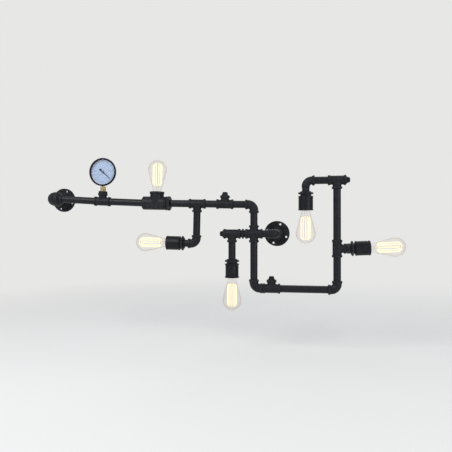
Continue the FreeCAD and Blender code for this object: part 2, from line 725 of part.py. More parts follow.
def glass_solid(inset):
    """Solid inside the glass's outline, moved in by an inset."""
    neck_r = S["glass_neck_od"].number / 2 - inset
    ball_r = S["glass_od"].number / 2 - inset
    start = -S["cap_rim_depth"].number
    neck_end = start + S["glass_neck_od"].number / 2
    ball_z = S["glass_tip"].number - S["pip_len"].number - S["glass_od"].number / 2
    # tangent from the end of the neck to the ball that closes the glass
    drop = ball_z - neck_end
    distance = math.hypot(neck_r, drop)
    swing = math.atan2(-drop, neck_r) + math.acos(ball_r / distance)
    touch = FreeCAD.Vector(ball_r * math.cos(swing), 0, ball_z + ball_r * math.sin(swing))
    shoulder = FreeCAD.Vector(ball_r * math.cos(swing / 2 + math.pi / 4), 0,
                              ball_z + ball_r * math.sin(swing / 2 + math.pi / 4))
    top = FreeCAD.Vector(0, 0, ball_z + ball_r)
    corners = [FreeCAD.Vector(0, 0, start), FreeCAD.Vector(neck_r, 0, start),
               FreeCAD.Vector(neck_r, 0, neck_end), touch]
    edges = [Part.LineSegment(*pair).toShape() for pair in zip(corners, corners[1:])]
    edges.append(Part.Arc(touch, shoulder, top).toShape())
    edges.append(Part.LineSegment(top, corners[0]).toShape())
    profile = Part.Face(Part.Wire(edges))
    return profile.revolve(FreeCAD.Vector(), FreeCAD.Vector(0, 0, 1), 360)


def lamp_glass(label, placement):
    """Blown glass with a sealed tip; local Z = 0 is the mouth, +Z points outwards."""
    tip = S["glass_tip"].number
    pip = S["pip_len"].number
    root_r = S["glass_od"].number * 0.06
    seal = Part.makeCone(root_r, root_r * 0.4, pip + 0.4, FreeCAD.Vector(0, 0, tip - pip - 0.4))
    glass = DOC.addObject("Part::Feature", label)
    glass.Shape = glass_solid(0).cut(glass_solid(S["glass_wall"].number)).fuse(seal)
    return finish(glass, label, placement)


# ---- gauge --------------------------------------------------------------------------------

CASE_R = S["case_od"] / 2
CASE_BACK_R = S["case_back_od"] / 2
RIM_R = CASE_R + S["bezel_play"] + S["bezel_wall"]      # outside of the bezel
FRONT = S["case_depth"]                                 # front of the bezel, from the case's back
WINDOW_BACK = FRONT - S["window_recess"] - S["window_thick"]
DIAL_SEAT = FRONT - S["dial_recess"]
DIAL_FACE = DIAL_SEAT + S["dial_thick"]
BLOCK_END = S["block_top"] + S["block_len"]
PINION_TEETH = 12
SECTOR_RATIO = 6                                        # pinion turns per turn of the sector
PINION_R = S["gear_module"].number * PINION_TEETH / 2
SECTOR_R = PINION_R * SECTOR_RATIO
SECTOR_PIVOT = FreeCAD.Vector(0, -(PINION_R + SECTOR_R), 0)
SECTOR_TEETH = 13


def gauge_case(placement):
    """Pressed case, open at the front, stepped for the dial and with a hole for the stem."""
    wall = S["case_wall"]
    corner = S["case_corner"]
    inner = CASE_R - wall
    back = CASE_BACK_R - wall
    shell = turned("gauge_case_shell", (
        (ZERO, ZERO), (CASE_BACK_R - corner, ZERO), (CASE_BACK_R, corner),
        (CASE_BACK_R, DIAL_SEAT - wall), (CASE_R, DIAL_SEAT - wall), (CASE_R, WINDOW_BACK),
        (inner, WINDOW_BACK), (inner, DIAL_SEAT), (back, DIAL_SEAT), (back, corner),
        (back - corner, wall), (ZERO, wall)))
    hole = cylinder("gauge_case_hole", S["gauge_neck_od"] + S["case_play"] * 2, CASE_R / 2,
                    CASE_R * 0.75, FROM_WALL)
    bind(hole, "Placement.Base.z", S["case_axis"])
    return finish(cut("gauge_case", shell, [hole]), "gauge_case", placement)


def gauge_bezel(placement):
    """Rolled ring that holds the window on the case."""
    edge = S["bevel"]
    skirt = CASE_R + S["bezel_play"]
    sight = RIM_R - S["bezel_lip"]
    low = FRONT - S["bezel_skirt"]
    lip = FRONT - S["window_recess"]
    return finish(turned("gauge_bezel", (
        (skirt, low), (RIM_R - edge, low), (RIM_R, low + edge), (RIM_R, FRONT - edge * 2),
        (RIM_R - edge * 2, FRONT), (sight + edge, FRONT), (sight, FRONT - edge), (sight, lip),
        (skirt, lip))), "gauge_bezel", placement)


def disc(label, radius, start, thickness, placement, hole_r=ZERO):
    """Flat disc, with or without a hole."""
    return finish(turned(label, (
        (hole_r, start), (radius, start), (radius, start + thickness),
        (hole_r, start + thickness))), label, placement)


def shaped(label, shape, placement):
    """Sub-part whose shape is worked out from the sheet's sizes."""
    feature = DOC.addObject("Part::Feature", label)
    feature.Shape = shape
    return finish(feature, label, placement.multiply(shape.Placement))


def gauge_pointer(placement):
    """Tapered pointer with a round counterweight, pressed on the arbor; it points to local +Y."""
    level = length_of(DIAL_FACE, S["pointer_air"])
    thick = S["pointer_thick"].number
    tip = S["pointer_len"].number
    tail = S["pointer_tail"].number
    half_tip = S["pointer_tip"].number / 2
    half_root = S["pointer_root"].number / 2
    bore_r = S["arbor_od"].number / 2 + S["press_play"].number
    blade = [FreeCAD.Vector(x, y, level) for x, y in (
        (-half_root, -tail), (half_root, -tail), (half_root, 0), (half_tip, tip),
        (-half_tip, tip), (-half_root, 0), (-half_root, -tail))]
    plate = Part.Face(Part.makePolygon(blade)).extrude(UP * thick)
    hub = Part.makeCylinder(S["pointer_hub_od"].number / 2, thick * 2, UP * level)
    weight = Part.makeCylinder(S["pointer_weight_od"].number / 2, thick,
                               FreeCAD.Vector(0, -tail, level))
    bore = Part.makeCylinder(bore_r, thick * 4, UP * (level - thick))
    return shaped("gauge_pointer", plate.fuse([hub, weight]).cut(bore), placement)


def toothed_arc(pitch_r, first, count, teeth_round):
    """Corner points of involute teeth on a pitch circle, the first one's middle at an angle."""
    module = S["gear_module"].number
    base_r = pitch_r * math.cos(math.radians(20))
    tip_r = pitch_r + module * 0.7
    root_r = pitch_r - module * 1.25
    low_r = max(base_r, pitch_r - module * 0.9)
    pitch_angle = 2 * math.pi / teeth_round
    half_tooth = pitch_angle * 0.21
    steps = 5

    def spread(radius):
        pressure = math.acos(min(1.0, base_r / radius))
        return math.tan(pressure) - pressure

    radii = [low_r + (tip_r - low_r) * step / steps for step in range(steps + 1)]
    flank = [(radius, half_tooth + spread(pitch_r) - spread(radius)) for radius in radii]
    flank.insert(0, (root_r, pitch_angle * 0.36))
    points = []
    for index in range(count):
        middle = first + pitch_angle * index
        points += [(radius, middle - offset) for radius, offset in flank]
        points += [(radius, middle + offset) for radius, offset in reversed(flank)]
    return [FreeCAD.Vector(radius * math.cos(angle), radius * math.sin(angle), 0)
            for radius, angle in points]


def slab(points, thickness):
    """Straight-sided solid over a closed outline."""
    return Part.Face(Part.makePolygon(points + points[:1])).extrude(UP * thickness)


def gauge_arbor(placement):
    """Arbor of the pointer with its pinion."""
    side = 0.2
    pinion = slab(toothed_arc(PINION_R, -math.pi / 2, PINION_TEETH, PINION_TEETH),
                  S["gear_thick"].number + side * 2)
    pinion.translate(UP * (S["gear_level"].number - side))
    low = S["plate_level"].number - side
    top = length_of(DIAL_FACE, S["pointer_air"], S["pointer_thick"] * 2)
    shaft = Part.makeCylinder(S["arbor_od"].number / 2, top - low, UP * low)
    return shaped("gauge_arbor", pinion.fuse(shaft), placement)


def gauge_sector(placement):
    """Toothed sector on its own pivot, in mesh with the pinion by its first teeth."""
    teeth_round = PINION_TEETH * SECTOR_RATIO
    thick = S["gear_thick"].number
    bore_r = S["arbor_od"].number / 2 + S["pivot_play"].number
    first = math.pi / 2 - math.pi * 3 / teeth_round
    arc = toothed_arc(SECTOR_R, first, SECTOR_TEETH, teeth_round)
    boss = Part.makeCylinder(bore_r * 3, thick)
    hole = Part.makeCylinder(bore_r, thick * 3, UP * -thick)
    sector = slab([FreeCAD.Vector()] + arc, thick).fuse(boss).cut(hole)
    sector.translate(SECTOR_PIVOT + UP * S["gear_level"].number)
    return shaped("gauge_sector", sector, placement)


def gauge_plate(placement):
    """Movement plate on the stem's block: bearing of the arbor and pivot of the sector."""
    thick = S["plate_thick"].number
    low = S["plate_level"].number
    width = S["plate_width"].number
    block_top = S["block_top"].number
    gear = S["gear_level"].number
    pivot_r = S["arbor_od"].number / 2
    plate = Part.makeBox(width, S["plate_rise"].number + block_top, thick,
                         FreeCAD.Vector(-width / 2, -block_top, low))
    bearing = Part.makeCylinder(pivot_r + S["pivot_play"].number, thick * 3, UP * (low - thick))
    pivot = Part.makeCylinder(pivot_r, gear + S["gear_thick"].number * 1.3 - low,
                              SECTOR_PIVOT + UP * low)
    seat = Part.makeCylinder(pivot_r * 2.4, gear - 0.1 - low, SECTOR_PIVOT + UP * low)
    return shaped("gauge_plate", plate.cut(bearing).fuse([pivot, seat]), placement)


def gauge_bourdon(placement):
    """Curved pressure tube that starts at the side of the stem's block and ends free."""
    ring_r = S["bourdon_r"].number
    tube_r = S["bourdon_od"].number / 2
    start = -math.degrees(math.acos(S["block_width"].number / 2 / (ring_r - tube_r)))
    pressure_tube = Part.makeTorus(ring_r, tube_r, FreeCAD.Vector(), UP, -180, 180,
                                   S["bourdon_end"].number - start)
    pressure_tube.rotate(FreeCAD.Vector(), UP, start)
    pressure_tube.translate(UP * length_of(S["block_level"], S["block_depth"] / 2))
    return shaped("gauge_bourdon", pressure_tube, placement)


def gauge_socket(placement):
    """Brass stem with its hexagon, and the block inside the case."""
    collar_start = RIM_R + S["case_play"]
    collar_end = collar_start + S["gauge_collar_len"]
    grip_end = S["gauge_rise"] - S["reach"] - S["gauge_bush_len"]
    neck_start = BLOCK_END - S["block_len"] / 2
    neck = cylinder("gauge_socket_neck", S["gauge_neck_od"], collar_end - neck_start, neck_start,
                    FROM_WALL)
    collar = cylinder("gauge_socket_collar", S["gauge_collar_od"], S["gauge_collar_len"],
                      collar_start, FROM_WALL)
    grip = hexagon_blank("gauge_socket_grip", S["gauge_stem_flats"], grip_end - collar_end)
    grip.Placement = at(FreeCAD.Vector(), FROM_WALL)
    bind(grip, "Placement.Base.y", ZERO - collar_end)
    tail = cylinder("gauge_socket_tail", S["gauge_tail_od"], S["thread_len"], grip_end, FROM_WALL)
    stem = fuse("gauge_socket_stem", [neck, collar, grip, tail])
    bind(stem, "Placement.Base.z", S["case_axis"])
    block = DOC.addObject("Part::Box", "gauge_socket_block")
    bind(block, "Length", S["block_width"])
    bind(block, "Width", S["block_len"])
    bind(block, "Height", S["block_depth"])
    bind(block, "Placement.Base.x", S["block_width"] / -2)
    bind(block, "Placement.Base.y", ZERO - BLOCK_END)
    bind(block, "Placement.Base.z", S["block_level"])
    return finish(fuse("gauge_socket", [stem, block]), "gauge_socket", placement)


def gauge_bushing(placement):
    """Hexagonal bushing between tee and stem; local Z = 0 is the tee's port."""
    shank_len = S["thread_len"] + S["gauge_bush_len"] / 2
    shank = cylinder("gauge_bushing_shank", S["pipe_od"], shank_len, S["thread_len"] * -1)
    head = hexagon_blank("gauge_bushing_head", S["gauge_bush_flats"], S["gauge_bush_len"])
    bore = cylinder("gauge_bushing_bore", S["gauge_tail_od"] + S["thread_play"] * 2,
                    S["thread_len"] + S["gauge_bush_len"], S["thread_len"] * -1)
    return finish(cut("gauge_bushing", fuse("gauge_bushing_solid", [shank, head]), [bore]),
                  "gauge_bushing", placement)


# ---- large tee that holds a lamp ----------------------------------------------------------

BUSHING_BORE = S["bushing_shank"] + S["thread_play"] * 2
SHANK_INSIDE = S["lamp_tee_short"] - S["cup_bore"] / 2 - S["bushing_gap"]
SHANK_OUTSIDE = S["ring_gap"] + S["thin_ring_len"] + S["thin_washer_len"]


def lamp_tee(placement):
    """Large tee; +X is its short arm with the bushing, -X its long arm, +Z its lamp."""
    edge = S["bevel"]
    run = S["lamp_tee_od"]
    left = along(180)
    right = along(0)
    long_arm, short_arm = S["lamp_tee_long"], S["lamp_tee_short"]
    mouth = S["lamp_tee_mouth"]
    bead = S["collar_len"]
    bevel = S["lamp_tee_bevel"]
    outside = [
        cylinder("lamp_tee_left", run, long_arm - bevel, ZERO, left),
        cone("lamp_tee_left_end", run, S["lamp_tee_end_od"], bevel, long_arm - bevel, left),
        cylinder("lamp_tee_right", run, short_arm - edge, ZERO, right),
        cone("lamp_tee_right_end", run, run - edge * 2, edge, short_arm - edge, right),
        cylinder("lamp_tee_neck", S["lamp_tee_neck_od"], mouth - edge),
        cone("lamp_tee_bead_near", S["lamp_tee_branch_od"] - edge * 2,
             S["lamp_tee_branch_od"], edge, mouth - bead),
        cylinder("lamp_tee_bead", S["lamp_tee_branch_od"], bead - edge * 2, mouth - bead + edge),
        cone("lamp_tee_bead_far", S["lamp_tee_branch_od"], S["lamp_tee_branch_od"] - edge * 2,
             edge, mouth - edge)]
    inside = [
        cylinder("lamp_tee_holder", S["cup_bore"], HOLDER_DEPTH, mouth - HOLDER_DEPTH),
        cylinder("lamp_tee_left_port", PORT_BORE, PORT_DEPTH, long_arm - PORT_DEPTH, left),
        cylinder("lamp_tee_left_way", S["pipe_id"], long_arm, ZERO, left),
        cylinder("lamp_tee_right_way", S["pipe_id"], short_arm, ZERO, right),
        cylinder("lamp_tee_right_port", BUSHING_BORE, short_arm - S["cup_bore"] * 0.4,
                 S["cup_bore"] * 0.4, right)]
    casting = fuse("lamp_tee_cast", outside)
    return finish(cut("lamp_tee", casting, inside), "lamp_tee", placement)


def lamp_tee_bushing(placement):
    """Hexagonal reducing bushing; local Z = 0 is the large tee's port."""
    shank = cylinder("lamp_tee_bushing_shank", S["bushing_shank"], SHANK_INSIDE + SHANK_OUTSIDE + 1,
                     SHANK_INSIDE * -1)
    head = hexagon_blank("lamp_tee_bushing_head", S["ring_flats"], S["bushing_head"],
                         SHANK_OUTSIDE)
    way = cylinder("lamp_tee_bushing_way", S["pipe_id"],
                   SHANK_INSIDE + SHANK_OUTSIDE + S["bushing_head"], SHANK_INSIDE * -1)
    port = cylinder("lamp_tee_bushing_port", PORT_BORE, PORT_DEPTH,
                    SHANK_OUTSIDE + S["bushing_head"] - PORT_DEPTH)
    return finish(cut("lamp_tee_bushing", fuse("lamp_tee_bushing_solid", [shank, head]),
                      [way, port]), "lamp_tee_bushing", placement)


# ---- wiring inside the pipes --------------------------------------------------------------

def lead(points):
    """Round lead through points, with a tangent arc at each corner."""
    wire_r = S["wire_od"].number / 2
    bend_r = S["bend_r"].number
    solids = []
    start = points[0]
    for point, following in zip(points[1:], points[2:]):
        course = (point - start).normalize()
        onward = (following - point).normalize()
        turn = course.getAngle(onward)
        if turn < math.radians(20):
            solids.append(Part.makeCylinder(wire_r, (point - start).Length, start, course))
            solids.append(Part.makeSphere(wire_r, point))
            start = point
            continue
        setback = bend_r * math.tan(turn / 2)
        entry = point - course * setback
        inward = (onward - course * course.dot(onward)).normalize()
        arc = Part.makeTorus(bend_r, wire_r, FreeCAD.Vector(), UP, -180, 180, math.degrees(turn))
        arc.Placement = at(entry + inward * bend_r, FreeCAD.Rotation(
            inward * -1, course, course.cross(inward), "XYZ"))
        solids.append(Part.makeCylinder(wire_r, (entry - start).Length, start, course))
        solids.append(arc)
        start = point + onward * setback
    last = points[-1] - start
    solids.append(Part.makeCylinder(wire_r, last.Length, start, last))
    return solids


# ---- assembly -----------------------------------------------------------------------------

REACH = S["reach"].number
THREAD = S["thread_len"].number
BRANCH = 180 - S["branch_lean"].number                  # headings of the upper run leftwards
GAUGE_RUN = 180 - S["gauge_lean"].number
LEFT_RUN = 180 - S["end_lean"].number
CUP_THREAD = S["neck_len"] + S["nipple_rise"]
LAMP_THREAD = S["washer_len"] + S["ring_len"] + CUP_THREAD
HOLE_TURN = -20                                         # turn of the screw holes, in degrees
# local +X of a wall elbow takes the pipe and local +Z its wall nipple
LEFT_WALL_TURN = TO_WALL
RIGHT_WALL_TURN = TO_WALL.multiply(FreeCAD.Rotation(UP, 180))


def swing(port, before, after):
    """Port point of a screwed joint that leans from one heading to another in its thread."""
    pivot = port - heading(before) * (THREAD / 2)
    return pivot + heading(after) * (THREAD / 2)


def screwed_pipe(label, port, angle, exposed, far_len=S["thread_len"]):
    """Pipe screwed into the port at a point and into whatever follows it."""
    start = port - heading(angle) * THREAD
    return tube(label, S["thread_len"] + exposed + far_len, at(start, along(angle)))


def port_of(centre, angle, reach=REACH):
    """Point of a fitting's port."""
    return centre + heading(angle) * reach


def beyond(port, angle, exposed, reach=REACH):
    """Centre of the fitting at the far end of an exposed length."""
    return port + heading(angle) * (length_of(exposed) + reach)


def find_centres():
    """Centre of every fitting and the leaned ports, all in the plane of the pipes."""
    spot = {"right_elbow": FreeCAD.Vector(0, -S["standoff"].number, 0)}

    def next_to(name, origin, angle, exposed):
        spot[name] = beyond(port_of(spot[origin], angle), angle, exposed)

    next_to("cross", "right_elbow", 180, S["cross_gap"])
    next_to("side_tee", "cross", 180, S["cross_gap"])
    next_to("upper_corner", "cross", 90, S["upper_riser"])
    next_to("lower_left", "cross", -90, S["lower_riser"])
    next_to("lower_plug", "lower_left", 0, S["close_gap"])
    next_to("lower_right", "lower_plug", 0, S["lower_run"])
    next_to("right_tee", "lower_right", 90, S["right_riser"])
    next_to("upper_right", "right_tee", 90, S["tall_riser"])
    next_to("hook", "upper_right", 180, S["upper_hook"])
    spot["corner_port"] = swing(port_of(spot["upper_corner"], 180), 180, BRANCH)
    spot["upper_plug"] = beyond(spot["corner_port"], BRANCH, S["upper_right_run"])
    next_to("drop_tee", "upper_plug", BRANCH, S["upper_mid_run"])
    next_to("drop_elbow", "drop_tee", BRANCH + 90, S["drop"])
    spot["lamp_port"] = port_of(spot["drop_tee"], BRANCH, length_of(
        S["reach"], S["upper_lamp_run"], S["bushing_head"], SHANK_OUTSIDE))
    spot["lamp_tee"] = port_of(spot["lamp_port"], BRANCH, S["lamp_tee_short"].number)
    spot["long_port"] = swing(port_of(spot["lamp_tee"], BRANCH, S["lamp_tee_long"].number),
                              BRANCH, GAUGE_RUN)
    spot["gauge_tee"] = beyond(spot["long_port"], GAUGE_RUN, S["gauge_run"])
    spot["gauge_port"] = swing(port_of(spot["gauge_tee"], GAUGE_RUN), GAUGE_RUN, LEFT_RUN)
    spot["left_elbow"] = beyond(spot["gauge_port"], LEFT_RUN, S["left_run"],
                                S["large_reach"].number)
    return spot


def build_fittings(spot):
    """Elbows, tees and the cross."""
    corners = (
        ("upper_left_corner", "upper_corner", 180), ("lower_left_corner", "lower_left", 0),
        ("lower_right_corner", "lower_right", 90), ("drop_elbow", "drop_elbow", BRANCH - 90))
    tees = (
        ("gauge_tee", "gauge_tee", GAUGE_RUN - 180), ("drop_tee", "drop_tee", BRANCH),
        ("upper_plug_tee", "upper_plug", BRANCH - 180), ("side_tee", "side_tee", 180),
        ("lower_plug_tee", "lower_plug", 0), ("right_lamp_tee", "right_tee", -90),
        ("upper_right_tee", "upper_right", 180))
    parts = [elbow(label, at(spot[name], facing(turn))) for label, name, turn in corners]
    parts += [junction(label, (90,), at(spot[name], facing(turn)))
              for label, name, turn in tees]
    parts += [
        junction("cross", (90, 270), at(spot["cross"])),
        lamp_tee(at(spot["lamp_tee"], facing(BRANCH - 180))),
        lamp_tee_bushing(at(spot["lamp_port"], along(BRANCH - 180))),
        street_elbow("upper_right_corner", S["hook_gap"], at(spot["hook"], facing(-90))),
        elbow("right_wall_elbow", at(spot["right_elbow"], RIGHT_WALL_TURN)),
        reducing_elbow("left_wall_elbow", at(spot["left_elbow"],
                                             facing(LEFT_RUN - 180).multiply(LEFT_WALL_TURN)))]
    return parts


def build_pipes(spot):
    """Pipes, plain nipples and plugs."""
    def pipe(label, name, angle, exposed):
        return screwed_pipe(label, port_of(spot[name], angle), angle, exposed)

    def stopper(label, name, angle):
        return plug(label, at(port_of(spot[name], angle), along(angle)))

    return [
        screwed_pipe("left_pipe", spot["gauge_port"], LEFT_RUN, S["left_run"]),
        screwed_pipe("gauge_pipe", spot["long_port"], GAUGE_RUN, S["gauge_run"]),
        pipe("upper_lamp_pipe", "drop_tee", BRANCH, S["upper_lamp_run"]),
        pipe("drop_pipe", "drop_tee", BRANCH + 90, S["drop"]),
        pipe("lower_riser_pipe", "cross", -90, S["lower_riser"]),
        pipe("lower_pipe", "lower_plug", 0, S["lower_run"]),
        pipe("right_riser_pipe", "lower_right", 90, S["right_riser"]),
        pipe("tall_riser_pipe", "right_tee", 90, S["tall_riser"]),
        group("short_pipes", [
            screwed_pipe("corner_pipe", spot["corner_port"], BRANCH, S["upper_right_run"]),
            pipe("middle_pipe", "upper_plug", BRANCH, S["upper_mid_run"]),
            pipe("riser_pipe", "cross", 90, S["upper_riser"]),
            pipe("hook_pipe", "upper_right", 180, S["upper_hook"])]),
        group("pipe_plugs", [
            stopper("upper_plug", "upper_plug", BRANCH - 90), stopper("lower_plug", "lower_plug", 90),
            stopper("side_plug", "side_tee", 180), stopper("right_plug", "upper_right", 0)])]


def build_wall_fixings(spot):
    """Flanges on the wall and the nipples that carry the wall elbows."""
    parts = []
    for side, hub, outer, inner, reach in (
            ("right", S["hub_od"], S["pipe_od"], S["pipe_id"], S["reach"]),
            ("left", S["large_hub_od"], S["large_pipe_od"], S["large_pipe_id"],
             S["large_reach"])):
        centre = spot[side + "_elbow"]
        foot = FreeCAD.Vector(centre.x, 0, centre.z)
        turn = FROM_WALL.multiply(FreeCAD.Rotation(UP, HOLE_TURN))
        parts.append(flange(side + "_flange", hub, outer + S["thread_play"] * 2, inner,
                            at(foot, turn)))
        hub_face = length_of(S["hub_len"] - S["thread_len"])
        start = foot + FreeCAD.Vector(0, -hub_face, 0)
        length = S["standoff"] - reach - S["hub_len"] + S["thread_len"] * 2
        parts.append(tube(side + "_wall_nipple", length, at(start, FROM_WALL), outer, inner))
    return parts


def find_lamps(spot):
    """Heading and mouth of every lamp, and the port and thread of those in cups."""
    lamps = {}
    stack = length_of(S["washer_len"], S["ring_len"], S["neck_len"], S["cup_len"])
    for name, origin, before, angle, exposed in (
            ("drop", "drop_elbow", BRANCH, BRANCH, S["lamp_gap"]),
            ("side", "side_tee", -90, -90, S["side_drop"]),
            ("right", "right_tee", 0, S["lamp_lean"].number, S["lamp_gap"]),
            ("hook", "hook", -90, -90, S["hook_gap"])):
        middle = (before + angle) / 2
        port = swing(port_of(spot[origin], before), before, middle)
        held = length_of(exposed, LAMP_THREAD / 2)
        base = port + heading(middle) * held - heading(angle) * length_of(LAMP_THREAD / 2)
        lamps[name] = {"port": port, "thread": middle, "angle": angle, "exposed": exposed,
                       "base": base, "mouth": base + heading(angle) * stack}
    lamps["upper"] = {"angle": BRANCH - 90, "mouth": port_of(
        spot["lamp_tee"], BRANCH - 90, S["lamp_tee_mouth"].number)}
    return lamps


def behind(lamp, depth):
    """Point on a lamp's axis at a depth behind its mouth."""
    return lamp["mouth"] - heading(lamp["angle"]) * length_of(depth)


def build_lamps(lamps):
    """Screw caps and glasses, and the porcelain and brass that hold them."""
    parts = []
    porcelain = []
    brass = []
    for name, lamp in lamps.items():
        turn = along(lamp["angle"])
        seat = at(behind(lamp, HOLDER_DEPTH), turn)
        shelf = at(behind(lamp, SHELL_SEAT), turn)
        parts.append(lamp_cap(name + "_lamp_cap", at(behind(lamp, CAP_DEPTH), turn)))
        parts.append(lamp_glass(name + "_lamp_glass", at(lamp["mouth"], turn)))
        porcelain.append(holder_insulator(name + "_insulator", seat))
        brass.append(holder_shell(name + "_shell", shelf))
        brass.append(holder_contact(name + "_contact", shelf))
    return parts + [group("holder_insulators", porcelain), group("holder_brass", brass)]


def build_cups(spot, lamps):
    """Cups with their lock rings, and the nipples that carry them."""
    ring_face = port_of(spot["lamp_port"], BRANCH - 180, length_of(SHANK_OUTSIDE))
    rings = [lock_ring("bushing_ring", at(ring_face, along(BRANCH)), S["thin_washer_len"],
                       S["thin_ring_len"], BUSHING_BORE)]
    cups = []
    for name, lamp in lamps.items():
        if name == "upper":
            continue
        turn = along(lamp["angle"])
        neck = lamp["base"] + heading(lamp["angle"]) * length_of(S["washer_len"], S["ring_len"])
        waist = S["cup_slim_waist"] if name == "side" else S["cup_waist"]
        rings.append(lock_ring(name + "_ring", at(lamp["base"], turn), S["washer_len"],
                               S["ring_len"]))
        cups.append(lamp_cup(name + "_cup", waist, at(neck, turn)))

    def nipple(name):
        lamp = lamps[name]
        return screwed_pipe(name + "_nipple", lamp["port"], lamp["thread"], lamp["exposed"],
                            LAMP_THREAD)

    right = lamps["right"]
    side_drop = nipple("side")
    side_drop.Label = "side_drop_pipe"
    return [
        group("lock_rings", rings), group("lamp_cups", cups), side_drop,
        group("hex_nipples", [
            hex_nipple("cross_hex_nipple", S["cross_gap"], S["hex_len"], S["thread_len"],
                       at(port_of(spot["cross"], 180), along(180))),
            hex_nipple("right_hex_nipple", right["exposed"], S["long_hex_len"], LAMP_THREAD,
                       at(right["port"], along(right["thread"])))]),
        group("close_nipples", [
            nipple("drop"),
            screwed_pipe("cross_nipple", port_of(spot["cross"], 0), 0, S["cross_gap"]),
            screwed_pipe("corner_nipple", port_of(spot["lower_left"], 0), 0, S["close_gap"])])]


def build_gauge(spot):
    """Dial gauge on the gauge tee."""
    upright = GAUGE_RUN - 90
    lean = facing(GAUGE_RUN - 180).multiply(FROM_WALL)
    back = port_of(spot["gauge_tee"], upright, S["gauge_rise"].number)
    back.y += S["case_axis"].number
    place = at(back, lean)
    rest = lean.multiply(FreeCAD.Rotation(UP, -S["pointer_turn"].number))
    return [
        gauge_bushing(at(port_of(spot["gauge_tee"], upright), along(upright))),
        gauge_socket(place), gauge_case(place), gauge_bezel(place),
        disc("gauge_window", CASE_R - S["case_play"], WINDOW_BACK, S["window_thick"], place),
        disc("gauge_dial", CASE_R - S["case_wall"] - S["case_play"], DIAL_SEAT, S["dial_thick"],
             place, S["dial_hole"] / 2),
        gauge_pointer(at(back, rest)), gauge_arbor(place), gauge_sector(place),
        gauge_plate(place), gauge_bourdon(place)]


def build_wiring(spot, lamps):
    """One loom of leads from the right flange to the five lamp holders."""
    tee_side = port_of(spot["lamp_tee"], BRANCH - 180,
                       length_of(S["insulator_od"] / 2, S["wire_gap"]))
    end = {name: behind(lamp, HOLDER_DEPTH + S["wire_gap"]) for name, lamp in lamps.items()}
    routes = (
        (FreeCAD.Vector(), spot["right_elbow"], spot["cross"], spot["side_tee"], end["side"]),
        (spot["cross"], spot["lower_left"], spot["lower_right"], spot["right_tee"],
         spot["upper_right"], spot["hook"], end["hook"]),
        (spot["right_tee"], lamps["right"]["port"], end["right"]),
        (spot["cross"], spot["upper_corner"], spot["drop_tee"], spot["drop_elbow"], end["drop"]),
        (spot["upper_plug"], tee_side))
    solids = [solid for route in routes for solid in lead(route)]
    return shaped("wiring_loom", solids[0].fuse(solids[1:]), at(FreeCAD.Vector()))


def check_document(parts):
    """Stops if an object failed to compute or a sub-part has no valid shape."""
    DOC.recompute()
    for item in DOC.Objects:
        if "Invalid" in item.State or "Error" in item.State:
            raise RuntimeError(f"{item.Label}: {item.State}")
    for part in parts:
        if part.Shape.isNull() or not part.Shape.isValid():
            raise RuntimeError(f"{part.Label} has no valid shape")


def main():
    spot = find_centres()
    lamps = find_lamps(spot)
    parts = build_fittings(spot)
    parts += build_pipes(spot)
    parts += build_wall_fixings(spot)
    parts += build_cups(spot, lamps)
    parts += build_lamps(lamps)
    parts += build_gauge(spot)
    parts.append(build_wiring(spot, lamps))
    check_document(parts)
    os.makedirs("parts", exist_ok=True)
    for part in parts:
        part.Shape.exportStep(f"parts/{part.Label}.step")
        print(f"{part.Label}: {len(part.Shape.Solids)} solid(s), {part.Shape.Volume:.0f} mm3")
    print(len(parts), "sub-parts")


main()
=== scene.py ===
import json
import math

import bmesh
import bpy
from mathutils import Matrix, Vector


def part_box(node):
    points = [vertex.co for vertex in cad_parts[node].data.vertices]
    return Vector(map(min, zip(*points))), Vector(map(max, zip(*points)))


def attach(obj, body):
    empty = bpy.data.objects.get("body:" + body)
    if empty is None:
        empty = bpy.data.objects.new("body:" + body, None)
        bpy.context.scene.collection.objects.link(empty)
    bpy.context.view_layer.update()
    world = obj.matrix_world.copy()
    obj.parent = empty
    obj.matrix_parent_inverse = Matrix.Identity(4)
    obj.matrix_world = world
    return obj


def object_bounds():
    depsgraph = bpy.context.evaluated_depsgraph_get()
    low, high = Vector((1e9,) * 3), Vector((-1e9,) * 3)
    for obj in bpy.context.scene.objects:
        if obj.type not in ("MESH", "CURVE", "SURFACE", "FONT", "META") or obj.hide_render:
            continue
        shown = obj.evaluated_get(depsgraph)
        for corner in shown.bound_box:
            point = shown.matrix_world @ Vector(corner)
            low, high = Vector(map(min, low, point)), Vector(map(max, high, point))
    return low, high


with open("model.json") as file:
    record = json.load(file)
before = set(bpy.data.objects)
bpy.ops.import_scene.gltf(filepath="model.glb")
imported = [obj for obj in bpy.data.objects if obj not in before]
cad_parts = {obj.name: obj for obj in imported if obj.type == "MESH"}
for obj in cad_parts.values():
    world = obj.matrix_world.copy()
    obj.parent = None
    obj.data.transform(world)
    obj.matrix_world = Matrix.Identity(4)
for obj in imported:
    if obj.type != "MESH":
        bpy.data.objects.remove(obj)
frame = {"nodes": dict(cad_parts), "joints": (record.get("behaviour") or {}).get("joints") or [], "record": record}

bl_info = {
    "name": "Pipe Wall Light",
    "version": (1, 0, 0),
    "blender": (4, 5, 0),
    "location": "View3D > Sidebar > Pipe Light",
    "description": "Finishes, lamps, dial and studio of an industrial pipe wall light",
    "category": "Object",
}

NODES = frame["nodes"]
RECORD = frame["record"]
JOINTS = {joint["name"]: joint for joint in frame["joints"]}
NODE_SLOTS = {item["node"]: item["material_slot"] for item in RECORD["subparts"]}
BODY_OF = {node: body for body, nodes in RECORD["behaviour"]["bodies"].items() for node in nodes}
LAMPS = [name[:-len("_lamp_glass")] for name in sorted(NODES) if name.endswith("_lamp_glass")]
CAD_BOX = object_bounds()
TURN_STEPS = 24
INTO_WALL = Vector((0, 1, 0))


# ---- settings -----------------------------------------------------------------------------

